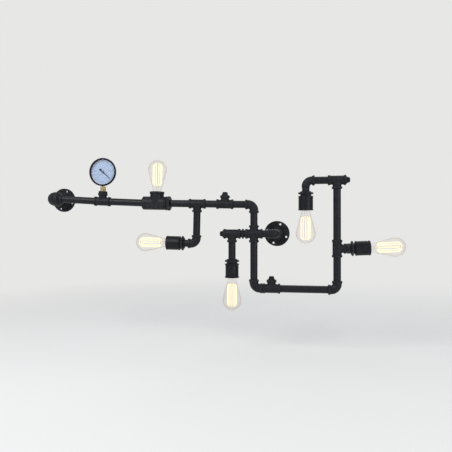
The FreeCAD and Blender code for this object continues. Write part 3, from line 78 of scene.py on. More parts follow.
def colour_setting(name, description, default):
    return bpy.props.FloatVectorProperty(
        name=name, description=description, default=default, subtype="COLOR", size=3,
        min=0.0, max=1.0)


def length_setting(name, description, default):
    return bpy.props.FloatProperty(
        name=name, description=description, default=default, min=0.0, unit="LENGTH",
        precision=5)


def share_setting(name, description, default):
    return bpy.props.FloatProperty(
        name=name, description=description, default=default, min=0.0, max=1.0,
        subtype="FACTOR")


def number_setting(name, description, default):
    return bpy.props.FloatProperty(name=name, description=description, default=default)


def count_setting(name, description, default):
    return bpy.props.IntProperty(name=name, description=description, default=default, min=1)


class IronSettings(bpy.types.PropertyGroup):
    """Black finish of pipes, castings and turned pieces."""
    casting: colour_setting("Casting", "Black of the cast fittings", (0.010, 0.0105, 0.013))
    pipe: colour_setting("Pipe", "Black of the pipes", (0.009, 0.0095, 0.012))
    turned: colour_setting("Turned", "Black of cups, rings and plugs", (0.008, 0.0085, 0.0105))
    bare: colour_setting("Bare iron", "Iron showing through on edges", (0.12, 0.125, 0.14))
    dust: colour_setting("Dust", "Greyer bloom in the black", (0.018, 0.019, 0.023))
    wear: share_setting("Wear", "How much iron shows on edges", 0.22)
    gloss: share_setting("Gloss", "Specular level of the black finish", 0.18)
    grain: length_setting("Grain", "Size of the casting's grain", 0.0009)
    thread_pitch: length_setting("Thread pitch", "Pitch of the pipe thread", 0.001814)
    thread_height: length_setting("Thread height", "Ridge of the thread that stays outside",
                                  0.00028)
    thread_turns: number_setting("Thread turns", "Turns left outside each port", 2.4)
    engaged: length_setting("Engaged thread", "Length of pipe screwed into a port", 0.012)
    held: length_setting("Held thread", "Length of nipple inside a lamp's ring and cup", 0.015)
    lamp_reach: length_setting("Lamp reach", "Pipe ends nearer than this to a lamp's mouth are "
                               "in its cup", 0.06)


class LampSettings(bpy.types.PropertyGroup):
    """Filament, stem and glass of the lamps."""
    glow: colour_setting("Glow", "Colour of the lit filament", (1.0, 0.77, 0.40))
    strength: number_setting("Strength", "Emission of the filament", 1.7)
    # Halo and halo strength set a painted glow: emission on the glass that stands in for the filament's light
    # caught in it.
    halo: colour_setting("Halo", "Light that the glass catches", (1.0, 0.58, 0.16))
    halo_strength: number_setting("Halo strength", "Emission of that light", 0.12)
    glass: colour_setting("Glass", "Tint of the glass", (0.34, 0.20, 0.06))
    haze: share_setting("Haze", "Cover of the glass seen straight on", 0.02)
    rim: share_setting("Rim", "Cover that the glass gains towards its outline", 0.30)
    brass: colour_setting("Cap", "Brass of the screw caps", (0.72, 0.53, 0.24))
    porcelain: colour_setting("Porcelain", "Glaze of the holders", (0.80, 0.78, 0.72))
    wire: length_setting("Filament wire", "Diameter of the filament", 0.0010)
    support: length_setting("Support wire", "Diameter of the supports", 0.0005)
    cage: length_setting("Cage", "Diameter of the filament's cage", 0.027)
    cage_start: length_setting("Cage start", "Mouth to the near end of the cage", 0.019)
    cage_end: length_setting("Cage end", "Mouth to the far end of the cage", 0.083)
    loops: count_setting("Loops", "Hairpins of the filament", 6)
    drawn_in: share_setting("Drawn in", "Radius of the hairpins' bends, of the cage's", 0.60)
    neck: length_setting("Neck", "Mouth back to the glass's end in the cap", 0.008)


class GaugeSettings(bpy.types.PropertyGroup):
    """Dial, pointer and metal of the gauge."""
    dial: colour_setting("Dial", "Enamel of the dial", (0.38, 0.48, 0.66))
    margin: colour_setting("Margin", "Paler enamel outside the scale", (0.52, 0.59, 0.70))
    print_ink: colour_setting("Print", "Ink of the scale", (0.10, 0.15, 0.27))
    pointer: colour_setting("Pointer", "Paint of the pointer", (0.003, 0.005, 0.012))
    case: colour_setting("Case", "Black of case and bezel", (0.004, 0.005, 0.010))
    cap: colour_setting("Pointer cap", "Metal in the middle of the pointer",
                        (0.20, 0.22, 0.26))
    stem: colour_setting("Stem", "Brass of the stem", (0.80, 0.63, 0.32))
    ticks: count_setting("Ticks", "Fine divisions of the scale", 50)
    figures: count_setting("Figures", "Numbered divisions of the scale", 10)
    sweep: number_setting("Sweep", "Angle of the scale in degrees", 270.0)
    scale_radius: length_setting("Scale radius", "Outer ends of the ticks", 0.0335)
    margin_gap: length_setting("Margin gap", "Scale to the paler margin", 0.0012)
    ink_height: length_setting("Ink height", "Thickness of the printed scale", 0.00005)
    figure_size: length_setting("Figure size", "Size of the numbers", 0.0050)
    figure_inset: length_setting("Figure inset", "Scale inwards to the numbers", 0.0078)
    screw_radius: length_setting("Screw radius", "Dial's centre to its two screws", 0.0105)


class StageSettings(bpy.types.PropertyGroup):
    """Camera, floor and backdrop."""
    camera: bpy.props.FloatVectorProperty(
        name="Camera", description="Place of the camera", default=(0.0404, -1.3286, 0.0171),
        subtype="TRANSLATION", unit="LENGTH")
    yaw: number_setting("Yaw", "Turn of the camera to the left, in radians", 0.1483)
    pitch: number_setting("Pitch", "Tilt of the camera upwards, in radians", 0.0045)
    lens: number_setting("Lens", "Focal length on a 36 mm sensor", 34.26)
    floor: colour_setting("Floor", "Colour of floor and backdrop", (0.80, 0.80, 0.79))
    fade_start: length_setting("Fade start", "Where the floor starts to turn into backdrop", 0.6)
    fade_end: length_setting("Fade end", "Where the floor has become backdrop", 2.0)
    floor_gap: length_setting("Floor gap", "Lowest point of the light to the floor", 0.12)
    floor_half: length_setting("Floor half", "Middle of the floor to its edges", 9.0)


def settings(name):
    """Settings of one group in the scene."""
    return getattr(bpy.context.scene, "pipe_light_" + name)


# ---- shader maths -------------------------------------------------------------------------

def shade(colour, share):
    """Colour with every channel multiplied by a share."""
    return tuple(channel * share for channel in colour)


class Value:
    """Output of a shader node on which Python's operators build Math nodes."""

    def __init__(self, tree, socket):
        self.tree = tree
        self.socket = socket

    def _maths(self, operation, first, second):
        return self.tree.node("ShaderNodeMath", {"operation": operation}, (first, second))

    def __add__(self, other):
        return self._maths("ADD", self, other)

    def __radd__(self, other):
        return self._maths("ADD", other, self)

    def __sub__(self, other):
        return self._maths("SUBTRACT", self, other)

    def __mul__(self, other):
        return self._maths("MULTIPLY", self, other)

    def __pow__(self, other):
        return self._maths("POWER", self, other)

    def either(self, other):
        """The larger of two values."""
        return self._maths("MAXIMUM", self, other)

    def above(self, low, high):
        """0 below low, 1 above high, smooth between them."""
        return self.tree.node(
            "ShaderNodeMapRange", {"interpolation_type": "SMOOTHSTEP"},
            {"Value": self, "From Min": low, "From Max": high})


class NodeTree:
    """Shader nodes of a material or a world."""

    def __init__(self, owner):
        owner.use_nodes = True
        self.nodes = owner.node_tree.nodes
        self.links = owner.node_tree.links

    def node(self, kind, options=None, values=(), output=0):
        """Adds a node, sets its options and inputs, and returns one of its outputs."""
        node = self.nodes.new(kind)
        for option, value in (options or {}).items():
            setattr(node, option, value)
        pairs = values.items() if isinstance(values, dict) else enumerate(values)
        for key, value in pairs:
            self.feed(node.inputs[key], value)
        return Value(self, node.outputs[output])

    def feed(self, socket, value):
        """Links a Value to a socket, or sets a plain number or colour on it."""
        if isinstance(value, Value):
            self.links.new(value.socket, socket)
        else:
            socket.default_value = value

    def shows(self):
        """1 on rays to the camera or through glass, 0 on all others."""
        camera = self.node("ShaderNodeLightPath", output="Is Camera Ray")
        return camera.either(self.node("ShaderNodeLightPath", output="Is Transmission Ray"))


class Finish(NodeTree):
    """Material under construction, with its Principled shader."""

    def __init__(self, name, **constants):
        self.material = bpy.data.materials.new(name)
        super().__init__(self.material)
        self.shader = self.nodes["Principled BSDF"]
        for socket, value in constants.items():
            self.shader.inputs[socket.replace("_", " ")].default_value = value

    def place(self):
        """Position in the object's own frame, in metres."""
        return self.node("ShaderNodeTexCoord", output="Object")

    def noise(self, size, detail=3.0, roughness=0.55):
        """Cloudy pattern whose patches are about as large as size, in metres."""
        return self.node("ShaderNodeTexNoise", None, {
            "Vector": self.place(), "Scale": 1.0 / size, "Detail": detail,
            "Roughness": roughness})

    def blend(self, factor, first, second):
        """Colour between two colours."""
        first = first if isinstance(first, Value) else (*first, 1.0)
        second = second if isinstance(second, Value) else (*second, 1.0)
        return self.node("ShaderNodeMix", {"data_type": "RGBA"},
                         {"Factor": factor, "A": first, "B": second}, output="Result")

    def bump(self, height, distance, strength=1.0):
        """Feeds a height, in units of distance metres, to the shader's normal."""
        normal = self.node("ShaderNodeBump", None, {
            "Height": height, "Distance": distance, "Strength": strength})
        self.feed(self.shader.inputs["Normal"], normal)

    def varies(self, **values):
        """Links varying values to the shader's inputs."""
        for socket, value in values.items():
            self.feed(self.shader.inputs[socket.replace("_", " ")], value)
        return self.material


def edge_wear(finish, amount):
    """Mask of worn edges, broken up by a noise."""
    edges = finish.node("ShaderNodeNewGeometry", output="Pointiness").above(0.52, 0.62)
    return edges * finish.noise(0.004).above(0.42, 0.62) * amount


def cast_iron():
    """Black castings: sandy skin, a dusty bloom and a little bare iron on the edges."""
    iron = settings("iron")
    finish = Finish("cast_iron_black", Specular_IOR_Level=iron.gloss)
    sand = finish.noise(iron.grain, detail=2.0)
    bloom = finish.noise(0.012, detail=4.0).above(0.38, 0.72)
    worn = edge_wear(finish, iron.wear)
    black = finish.blend(bloom * 0.55, tuple(iron.casting), tuple(iron.dust))
    finish.bump(sand + finish.noise(0.0035) * 0.8, 0.00022, 0.55)
    return finish.varies(
        Base_Color=finish.blend(worn, black, tuple(iron.bare)),
        Metallic=worn * 0.8,
        Roughness=0.40 + bloom * 0.16 + sand * 0.08 - worn * 0.10)


def black_pipe():
    """Black steel pipe: smooth drawn skin with faint mottling."""
    iron = settings("iron")
    finish = Finish("steel_pipe_black", Specular_IOR_Level=iron.gloss * 1.1)
    mottle = finish.noise(0.007, detail=5.0).above(0.35, 0.75)
    fine = finish.noise(0.0006, detail=2.0)
    scuffs = finish.noise(0.0023, detail=6.0, roughness=0.7).above(0.62, 0.74)
    black = finish.blend(mottle * 0.5, tuple(iron.pipe), tuple(iron.dust))
    finish.bump(fine + mottle * 0.5, 0.00008, 0.5)
    return finish.varies(
        Base_Color=finish.blend(scuffs * 0.12, black, tuple(iron.bare)),
        Roughness=0.33 + mottle * 0.14 + fine * 0.06)


def turned_black():
    """Turned and milled pieces under a satin black."""
    iron = settings("iron")
    finish = Finish("turned_black", Specular_IOR_Level=iron.gloss)
    fine = finish.noise(0.0008, detail=3.0)
    bloom = finish.noise(0.009, detail=4.0).above(0.40, 0.75)
    worn = edge_wear(finish, iron.wear * 0.8)
    black = finish.blend(bloom * 0.4, tuple(iron.turned), tuple(iron.dust))
    finish.bump(fine, 0.00006, 0.5)
    return finish.varies(
        Base_Color=finish.blend(worn, black, tuple(iron.bare)),
        Metallic=worn * 0.8,
        Roughness=0.34 + bloom * 0.14 + fine * 0.06 - worn * 0.08)


def brass(name, colour, roughness, tarnish):
    """Machined or rolled brass with a darker tarnish in patches."""
    finish = Finish(name, Metallic=1.0)
    patches = finish.noise(0.005, detail=5.0).above(0.45, 0.75) * tarnish
    lines = finish.noise(0.0004, detail=2.0)
    finish.bump(lines, 0.00003, 0.4)
    return finish.varies(
        Base_Color=finish.blend(patches, tuple(colour), shade(colour, 0.45)),
        Roughness=roughness + patches * 0.2 + lines * 0.06)


def porcelain():
    """Glazed porcelain with a faint warm mottle."""
    glaze = settings("lamp").porcelain
    finish = Finish("porcelain")
    mottle = finish.noise(0.006, detail=3.0)
    finish.bump(mottle, 0.0001, 0.4)
    return finish.varies(
        Base_Color=finish.blend(mottle, tuple(glaze), shade(glaze, 0.86)),
        Roughness=0.16 + mottle * 0.10)


def lamp_glass(name="lamp_glass", painted_glow_share=1.0):
    """Clear glass, so thin that it shows only by its gloss, its amber rim and a painted glow: emission that stands
    in for the filament's light caught in the glass.
    """
    lamp = settings("lamp")
    # The emission on the glass is a painted glow standing in for the filament's light; the smears break up its
    # colour.
    finish = Finish(name, IOR=1.45, Emission_Strength=lamp.halo_strength * painted_glow_share)
    smear = finish.noise(0.018, detail=3.0)
    rim = finish.node("ShaderNodeLayerWeight", None, {"Blend": 0.5}, output="Facing") ** 3.0
    finish.bump(smear, 0.0001, 0.3)
    return finish.varies(
        Base_Color=finish.blend(smear * 0.5, tuple(lamp.glass), shade(lamp.glass, 0.8)),
        Roughness=0.03 + smear * 0.04,
        Alpha=rim * lamp.rim + lamp.haze,
        Emission_Color=finish.blend(smear * 0.4, tuple(lamp.halo), (0.0, 0.0, 0.0)))


def filament_glow():
    """White-hot wire with cooler stretches."""
    lamp = settings("lamp")
    finish = Finish("filament_glow", Roughness=0.5, Emission_Strength=lamp.strength)
    cooler = finish.noise(0.006).above(0.5, 0.8)
    finish.bump(finish.noise(0.0006), 0.00005, 0.3)
    return finish.varies(
        Base_Color=finish.blend(cooler, (0.3, 0.2, 0.1), (0.2, 0.12, 0.05)),
        Emission_Color=finish.blend(cooler * 0.4, tuple(lamp.glow), shade(lamp.glow, 0.7)))


def support_wire():
    """Drawn wire of the filament's supports."""
    finish = Finish("support_wire", Metallic=1.0)
    streaks = finish.noise(0.0015)
    finish.bump(streaks, 0.00003, 0.3)
    return finish.varies(
        Base_Color=finish.blend(streaks, (0.42, 0.40, 0.38), (0.30, 0.27, 0.24)),
        Roughness=0.28 + streaks * 0.15)


def window_glass():
    """Flat clear pane of the gauge with faint smears, so thin that it hardly bends the light."""
    finish = Finish("window_glass", Alpha=0.03, IOR=1.5)
    smear = finish.noise(0.015, detail=5.0)
    finish.bump(smear, 0.0001, 0.2)
    return finish.varies(
        Base_Color=finish.blend(smear, (0.20, 0.23, 0.26), (0.30, 0.33, 0.36)),
        Roughness=0.04 + smear * 0.08)


def dial_enamel():
    """Bluish enamel with a paler margin outside the scale."""
    gauge = settings("gauge")
    finish = Finish("dial_enamel", Specular_IOR_Level=0.3)
    cloud = finish.noise(0.012, detail=4.0)
    centre = Vector(JOINTS["pointer_spin"]["pos_m"])
    centre.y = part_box("gauge_dial")[0][1]
    offset = finish.node("ShaderNodeVectorMath", {"operation": "SUBTRACT"},
                         (finish.place(), tuple(centre)))
    radius = finish.node("ShaderNodeVectorMath", {"operation": "LENGTH"}, (offset,),
                         output="Value")
    edge = gauge.scale_radius + gauge.margin_gap
    field = finish.blend(cloud * 0.35, tuple(gauge.dial), shade(gauge.dial, 0.9))
    finish.bump(finish.noise(0.0005), 0.00002, 0.4)
    return finish.varies(
        Base_Color=finish.blend(radius.above(edge, edge + 0.0005), field, tuple(gauge.margin)),
        Roughness=0.42 + cloud * 0.1)


def paint(name, colour, roughness):
    """Thin even paint with a fine orange-peel skin."""
    finish = Finish(name, Specular_IOR_Level=0.12)
    skin = finish.noise(0.0006, detail=2.0)
    cloud = finish.noise(0.010, detail=3.0)
    finish.bump(skin, 0.00005, 0.4)
    return finish.varies(
        Base_Color=finish.blend(cloud * 0.4, tuple(colour), shade(colour, 1.5)),
        Roughness=roughness + cloud * 0.10)


def sleeved_leads():
    """Rubber sleeve round the leads."""
    finish = Finish("lead_sleeve")
    powder = finish.noise(0.002, detail=4.0)
    finish.bump(powder, 0.0001, 0.5)
    return finish.varies(
        Base_Color=finish.blend(powder, (0.030, 0.030, 0.032), (0.055, 0.052, 0.050)),
        Roughness=0.62 + powder * 0.15)


FINISHES = {
    "black_iron": cast_iron,
    "black_pipe": black_pipe,
    "turned_black": turned_black,
    "cap_brass": lambda: brass("cap_brass", settings("lamp").brass, 0.30, 0.5),
    "lamp_glass": lamp_glass,
    "porcelain": porcelain,
    "holder_brass": lambda: brass("holder_brass", settings("lamp").brass, 0.36, 0.7),
    "sleeved_leads": sleeved_leads,
    "gauge_black": lambda: paint("gauge_black", settings("gauge").case, 0.26),
    "window_glass": window_glass,
    "dial_enamel": dial_enamel,
    "pointer_dark": lambda: paint("pointer_dark", settings("gauge").pointer, 0.35),
    "movement_brass": lambda: brass("movement_brass", settings("gauge").stem, 0.32, 0.4),
    "stem_brass": lambda: brass("stem_brass", settings("gauge").stem, 0.20, 0.3),
}


# ---- mesh helpers -------------------------------------------------------------------------

def new_piece(name, mesh, material, body):
    """Adds an object that rides on a body and takes its finish from a slot."""
    piece = bpy.data.objects.new(name, mesh)
    bpy.context.scene.collection.objects.link(piece)
    piece.data.materials.append(material)
    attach(piece, body)
    return piece


def finished_mesh(name, builder, transform, smooth=True):
    """Mesh from a bmesh, moved into place."""
    bmesh.ops.recalc_face_normals(builder, faces=builder.faces)
    mesh = bpy.data.meshes.new(name)
    builder.to_mesh(mesh)
    builder.free()
    mesh.transform(transform)
    if smooth:
        mesh.shade_smooth()
    return mesh


def lathe(builder, outline, steps=32, centre=(0.0, 0.0)):
    """Turns (radius, height) points about local Z through a centre."""
    rings = []
    for radius, height in outline:
        if radius < 1e-7:
            rings.append([builder.verts.new((centre[0], centre[1], height))])
            continue
        rings.append([builder.verts.new((
            centre[0] + radius * math.cos(2 * math.pi * step / steps),
            centre[1] + radius * math.sin(2 * math.pi * step / steps), height))
            for step in range(steps)])
    for low, high in zip(rings, rings[1:]):
        for step in range(steps):
            corners = [low[step % len(low)], low[(step + 1) % len(low)],
                       high[(step + 1) % len(high)], high[step % len(high)]]
            corners = list(dict.fromkeys(corners))
            if len(corners) > 2:
                builder.faces.new(corners)


def bar(builder, stations, height):
    """Flat solid bar through (middle, half across) pairs, standing on Z = 0."""
    rise = Vector((0, 0, height))
    rows = []
    for middle, across in stations:
        corners = (middle - across, middle + across, middle + across + rise,
                   middle - across + rise)
        rows.append([builder.verts.new(corner) for corner in corners])
    for row, following in zip(rows, rows[1:]):
        for side in range(4):
            after = (side + 1) % 4
            builder.faces.new((row[side], row[after], following[after], following[side]))
    builder.faces.new(rows[0])
    builder.faces.new(rows[-1])


def wire_curve(name, runs, diameter, transform, material, body):
    """Round wire along one or more runs of points."""
    curve = bpy.data.curves.new(name, "CURVE")
    curve.dimensions = "3D"
    curve.bevel_depth = diameter / 2
    curve.bevel_resolution = 2
    curve.use_fill_caps = True
    for points in runs:
        spline = curve.splines.new("POLY")
        spline.points.add(len(points) - 1)
        for vertex, point in zip(spline.points, points):
            vertex.co = (*(transform @ Vector(point)), 1.0)
    return new_piece(name, curve, material, body)


def basis(origin, along, across):
    """Matrix whose Z runs along a direction and whose X lies towards another."""
    z = along.normalized()
    x = (across - z * across.dot(z)).normalized()
    return Matrix.Translation(origin) @ Matrix((x, z.cross(x), z)).transposed().to_4x4()


def loose_parts(mesh):
    """Points of every separate solid in a mesh."""
    builder = bmesh.new()
    builder.from_mesh(mesh)
    bmesh.ops.remove_doubles(builder, verts=builder.verts, dist=1e-6)
    unseen = set(builder.verts)
    parts = []
    while unseen:
        queue = [unseen.pop()]
        part = []
        while queue:
            vertex = queue.pop()
            part.append(vertex.co.copy())
            for edge in vertex.link_edges:
                other = edge.other_vert(vertex)
                if other in unseen:
                    unseen.remove(other)
                    queue.append(other)
        parts.append(part)
    builder.free()
    return parts


def ends_of(points):
    """Middles of the two end rings of a long round solid."""
    middle = sum(points, Vector()) / len(points)
    course = max(points, key=lambda point: (point - middle).length) - middle
    for _ in range(3):
        ends = []
        for side in (1, -1):
            half = [point for point in points if (point - middle).dot(course) * side > 0]
            ends.append(sum(half, Vector()) / len(half))
        course = ends[0] - ends[1]
    return ends


def lamp_frame(name):
    """Matrix of a lamp: Z = 0 is the mouth of its holder, Z outwards, -Y towards the viewer."""
    joint = JOINTS[name + "_lamp_slide"]
    along = Vector(joint["axis"]).normalized()
    points = [vertex.co for vertex in NODES[name + "_lamp_glass"].data.vertices]
    reach = [point.dot(along) for point in points]
    ring = [point for point, at in zip(points, reach) if at < min(reach) + 1e-5]
    middle = sum(ring, Vector()) / len(ring)
    return basis(middle + along * settings("lamp").neck, along, INTO_WALL.cross(along))


def gauge_frame():
    """Matrix of the dial: origin on the pointer's axis at the dial's face, Y up the dial."""
    pivot = Vector(JOINTS["pointer_spin"]["pos_m"])
    sector = Vector(JOINTS["sector_swing"]["pos_m"])
    up = (pivot - sector).normalized()
    front = Vector((0, -1, 0))
    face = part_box("gauge_dial")[0][1]
    turn = Matrix((up.cross(front), up, front)).transposed().to_4x4()
    return Matrix.Translation(Vector((pivot.x, face, pivot.z))) @ turn


# ---- operators ----------------------------------------------------------------------------

class PIPELIGHT_OT_finishes(bpy.types.Operator):
    """Give every CAD node the finish of its material slot"""
    bl_idname = "pipe_light.finishes"
    bl_label = "Finishes"

    def execute(self, context):
        made = {slot: build() for slot, build in FINISHES.items()}
        for name, node in NODES.items():
            node.data.materials.clear()
            node.data.materials.append(made[NODE_SLOTS[name]])
            node.data.shade_smooth()
            split = node.modifiers.new("edges", "EDGE_SPLIT")
            split.split_angle = math.radians(32)
        return {"FINISHED"}


class PIPELIGHT_OT_threads(bpy.types.Operator):
    """Cut the last turns of thread that stay outside each port"""
    bl_idname = "pipe_light.threads"
    bl_label = "Pipe threads"

    def execute(self, context):
        iron = settings("iron")
        material = bpy.data.materials["steel_pipe_black"]
        mouths = [lamp_frame(name).translation for name in LAMPS]
        names = [name for name in sorted(NODES)
                 if name.endswith("_pipe") or name.endswith("_wall_nipple") or name in (
                     "short_pipes", "close_nipples")]
        for name in names:
            runs = []
            for points in loose_parts(NODES[name].data):
                first, last = ends_of(points)
                course = (last - first).normalized()
                radius = max((point - first).cross(course).length for point in points)
                for end, inward in ((first, course), (last, -course)):
                    in_lamp = min((end - mouth).length for mouth in mouths) < iron.lamp_reach
                    sunk = iron.held if in_lamp else iron.engaged
                    place = basis(end + inward * sunk, inward, Vector((0.3, 1, 0.2)))
                    runs.append(self.turns(iron, radius, place))
            wire_curve(name + "_thread", runs, iron.thread_height * 2, Matrix.Identity(4),
                       material, BODY_OF[name])
        return {"FINISHED"}

    @staticmethod
    def turns(iron, radius, place):
        """Helix that runs out of a port and fades into the pipe."""
        steps = int(iron.thread_turns * TURN_STEPS)
        points = []
        for step in range(steps + 1):
            angle = 2 * math.pi * step / TURN_STEPS
            sink = iron.thread_height * (0.15 + 0.85 * (step / steps) ** 3)
            points.append(place @ Vector((
                (radius - sink) * math.cos(angle), (radius - sink) * math.sin(angle),
                iron.thread_pitch * (step / TURN_STEPS - 0.5))))
        return points


class PIPELIGHT_OT_filaments(bpy.types.Operator):
    """String the lit filament of every lamp on its supports"""
    bl_idname = "pipe_light.filaments"
    bl_label = "Filaments"

    def execute(self, context):
        lamp = settings("lamp")
        glow = filament_glow()
        metal = support_wire()
        for name in LAMPS:
            place = lamp_frame(name)
            body = name + "_lamp"
            wire_curve(name + "_filament", [self.hairpins(lamp)], lamp.wire, place, glow, body)
            wire_curve(name + "_supports", self.supports(lamp), lamp.support, place, metal,
                       body)
        return {"FINISHED"}

    @staticmethod
    def hairpins(lamp):
        """Zigzag round the cage, drawn in a little at both ends."""
        radius = lamp.cage / 2
        chamfer = radius * 0.42
        points = []
        for loop in range(lamp.loops):
            for side, (near, far) in enumerate(((lamp.cage_start, lamp.cage_end),
                                                (lamp.cage_end, lamp.cage_start))):
                angle = 2 * math.pi * (loop + side * 0.5) / lamp.loops
                x, y = math.cos(angle), math.sin(angle)
                lift = chamfer if near < far else -chamfer
                for share, height in ((lamp.drawn_in, near), (1.0, near + lift),
                                      (1.0, far - lift), (lamp.drawn_in, far)):
                    points.append((x * radius * share, y * radius * share, height))
        return points

    @staticmethod
    def supports(lamp):
        """Rod out of the stem, hooks from it to both ends of the cage, and the two lead wires."""
        radius = lamp.cage / 2 * lamp.drawn_in
        stem_inside = lamp.cage_start - 0.004
        rod_end = lamp.cage_end + 0.001
        runs = [[(0, 0, stem_inside), (0, 0, rod_end)]]
        for height, root, turn in ((lamp.cage_start, lamp.cage_start + 0.002, 0.0),
                                   (lamp.cage_end, lamp.cage_end - 0.002, 0.5)):
            for hook in range(lamp.loops):
                angle = 2 * math.pi * (hook + turn) / lamp.loops
                runs.append([(0, 0, root),
                             (radius * math.cos(angle), radius * math.sin(angle), height)])
        cap_inside = -0.012
        lead_bend = lamp.cage_start - 0.008
        for side in (-1, 1):
            runs.append([(side * 0.0035, 0, cap_inside), (side * 0.0032, 0, lead_bend),
                         (side * radius, 0, lamp.cage_start)])
        return runs


class PIPELIGHT_OT_stems(bpy.types.Operator):
    """Blow the glass stem inside every lamp"""
    bl_idname = "pipe_light.stems"
    bl_label = "Glass stems"

    def execute(self, context):
        lamp = settings("lamp")
        # The stem's glass carries 1.6 times the bulb glass's painted glow, an emission that stands in for the
        # filament's light.
        material = lamp_glass("stem_glass", painted_glow_share=1.6)
        tip = lamp.cage_start - 0.001
        outline = [(0.0115, -0.0078), (0.0090, -0.0060), (0.0058, -0.0030), (0.0044, 0.0010),
                   (0.0038, 0.0060), (0.0034, tip - 0.0050), (0.0030, tip - 0.0030),
                   (0.0040, tip - 0.0015), (0.0030, tip), (0.0, tip)]
        for name in LAMPS:
            builder = bmesh.new()
            lathe(builder, outline)
            mesh = finished_mesh(name + "_stem", builder, lamp_frame(name))
            new_piece(name + "_stem", mesh, material, name + "_lamp")
        return {"FINISHED"}


class PIPELIGHT_OT_dial(bpy.types.Operator):
    """Print the scale and its numbers on the dial and screw the dial down"""
    bl_idname = "pipe_light.dial"
    bl_label = "Dial"

    def execute(self, context):
        gauge = settings("gauge")
        ink = paint("dial_ink", gauge.print_ink, 0.5)
        place = gauge_frame()
        new_piece("dial_scale", self.scale(gauge, place), ink, "pipework")
        self.numbers(gauge, place, ink)
        metal = brass("dial_screw_brass", (0.35, 0.33, 0.30), 0.3, 0.4)
        for side, angle in (("left", 219), ("right", 321)):
            builder = bmesh.new()
            centre = (gauge.screw_radius * math.cos(math.radians(angle)),
                      gauge.screw_radius * math.sin(math.radians(angle)))
            lathe(builder, [(0.0, 0.0), (0.0016, 0.0), (0.0016, 0.0003), (0.0012, 0.0007),
                            (0.0006, 0.0009), (0.0, 0.00095)], 24, centre)
            mesh = finished_mesh("dial_screw_" + side, builder, place)
            new_piece("dial_screw_" + side, mesh, metal, "pipework")
        builder = bmesh.new()
        lathe(builder, [(0.0, 0.0032), (0.0011, 0.00315), (0.0019, 0.0029), (0.0021, 0.0026)], 32)
        mesh = finished_mesh("pointer_cap", builder, place)
        cap_metal = brass("pointer_cap_metal", tuple(gauge.cap), 0.3, 0.2)
        new_piece("pointer_cap", mesh, cap_metal, "pointer")
        return {"FINISHED"}

    @staticmethod
    def scale(gauge, place):
        """Ticks and arc of the scale as a thin layer of ink."""
        builder = bmesh.new()
        start = math.radians(90 + gauge.sweep / 2)
        step = math.radians(gauge.sweep) / gauge.ticks
        every = gauge.ticks // gauge.figures

        def spoke(angle):
            return Vector((math.cos(angle), math.sin(angle), 0))

        for tick in range(gauge.ticks + 1):
            out = spoke(start - step * tick)
            length, half_width = (0.0038, 0.00028) if tick % every == 0 else (0.0021, 0.00013)
            across = Vector((-out.y, out.x, 0)) * half_width
            bar(builder, [(out * (gauge.scale_radius - length), across),
                          (out * gauge.scale_radius, across)], gauge.ink_height)
        arc = [spoke(start - step * part / 2) for part in range(gauge.ticks * 2 + 1)]
        bar(builder, [(out * gauge.scale_radius, out * 0.00013) for out in arc],
            gauge.ink_height)
        return finished_mesh("dial_scale", builder, place, smooth=False)

    @staticmethod
    def numbers(gauge, place, ink):
        """Plain numbers at every other long tick."""
        start = 90 + gauge.sweep / 2
        for figure in range(0, gauge.figures + 1, 2):
            angle = math.radians(start - gauge.sweep * figure / gauge.figures)
            text = bpy.data.curves.new(f"dial_number_{figure}", "FONT")
            text.body = str(figure)
            text.size = gauge.figure_size
            text.align_x = "CENTER"
            text.align_y = "CENTER"
            text.extrude = 0.00001
            radius = gauge.scale_radius - gauge.figure_inset
            piece = new_piece(f"dial_number_{figure}", text, ink, "pipework")
            piece.matrix_world = place @ Matrix.Translation(
                (radius * math.cos(angle), radius * math.sin(angle), 0.00003))
            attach(piece, "pipework")


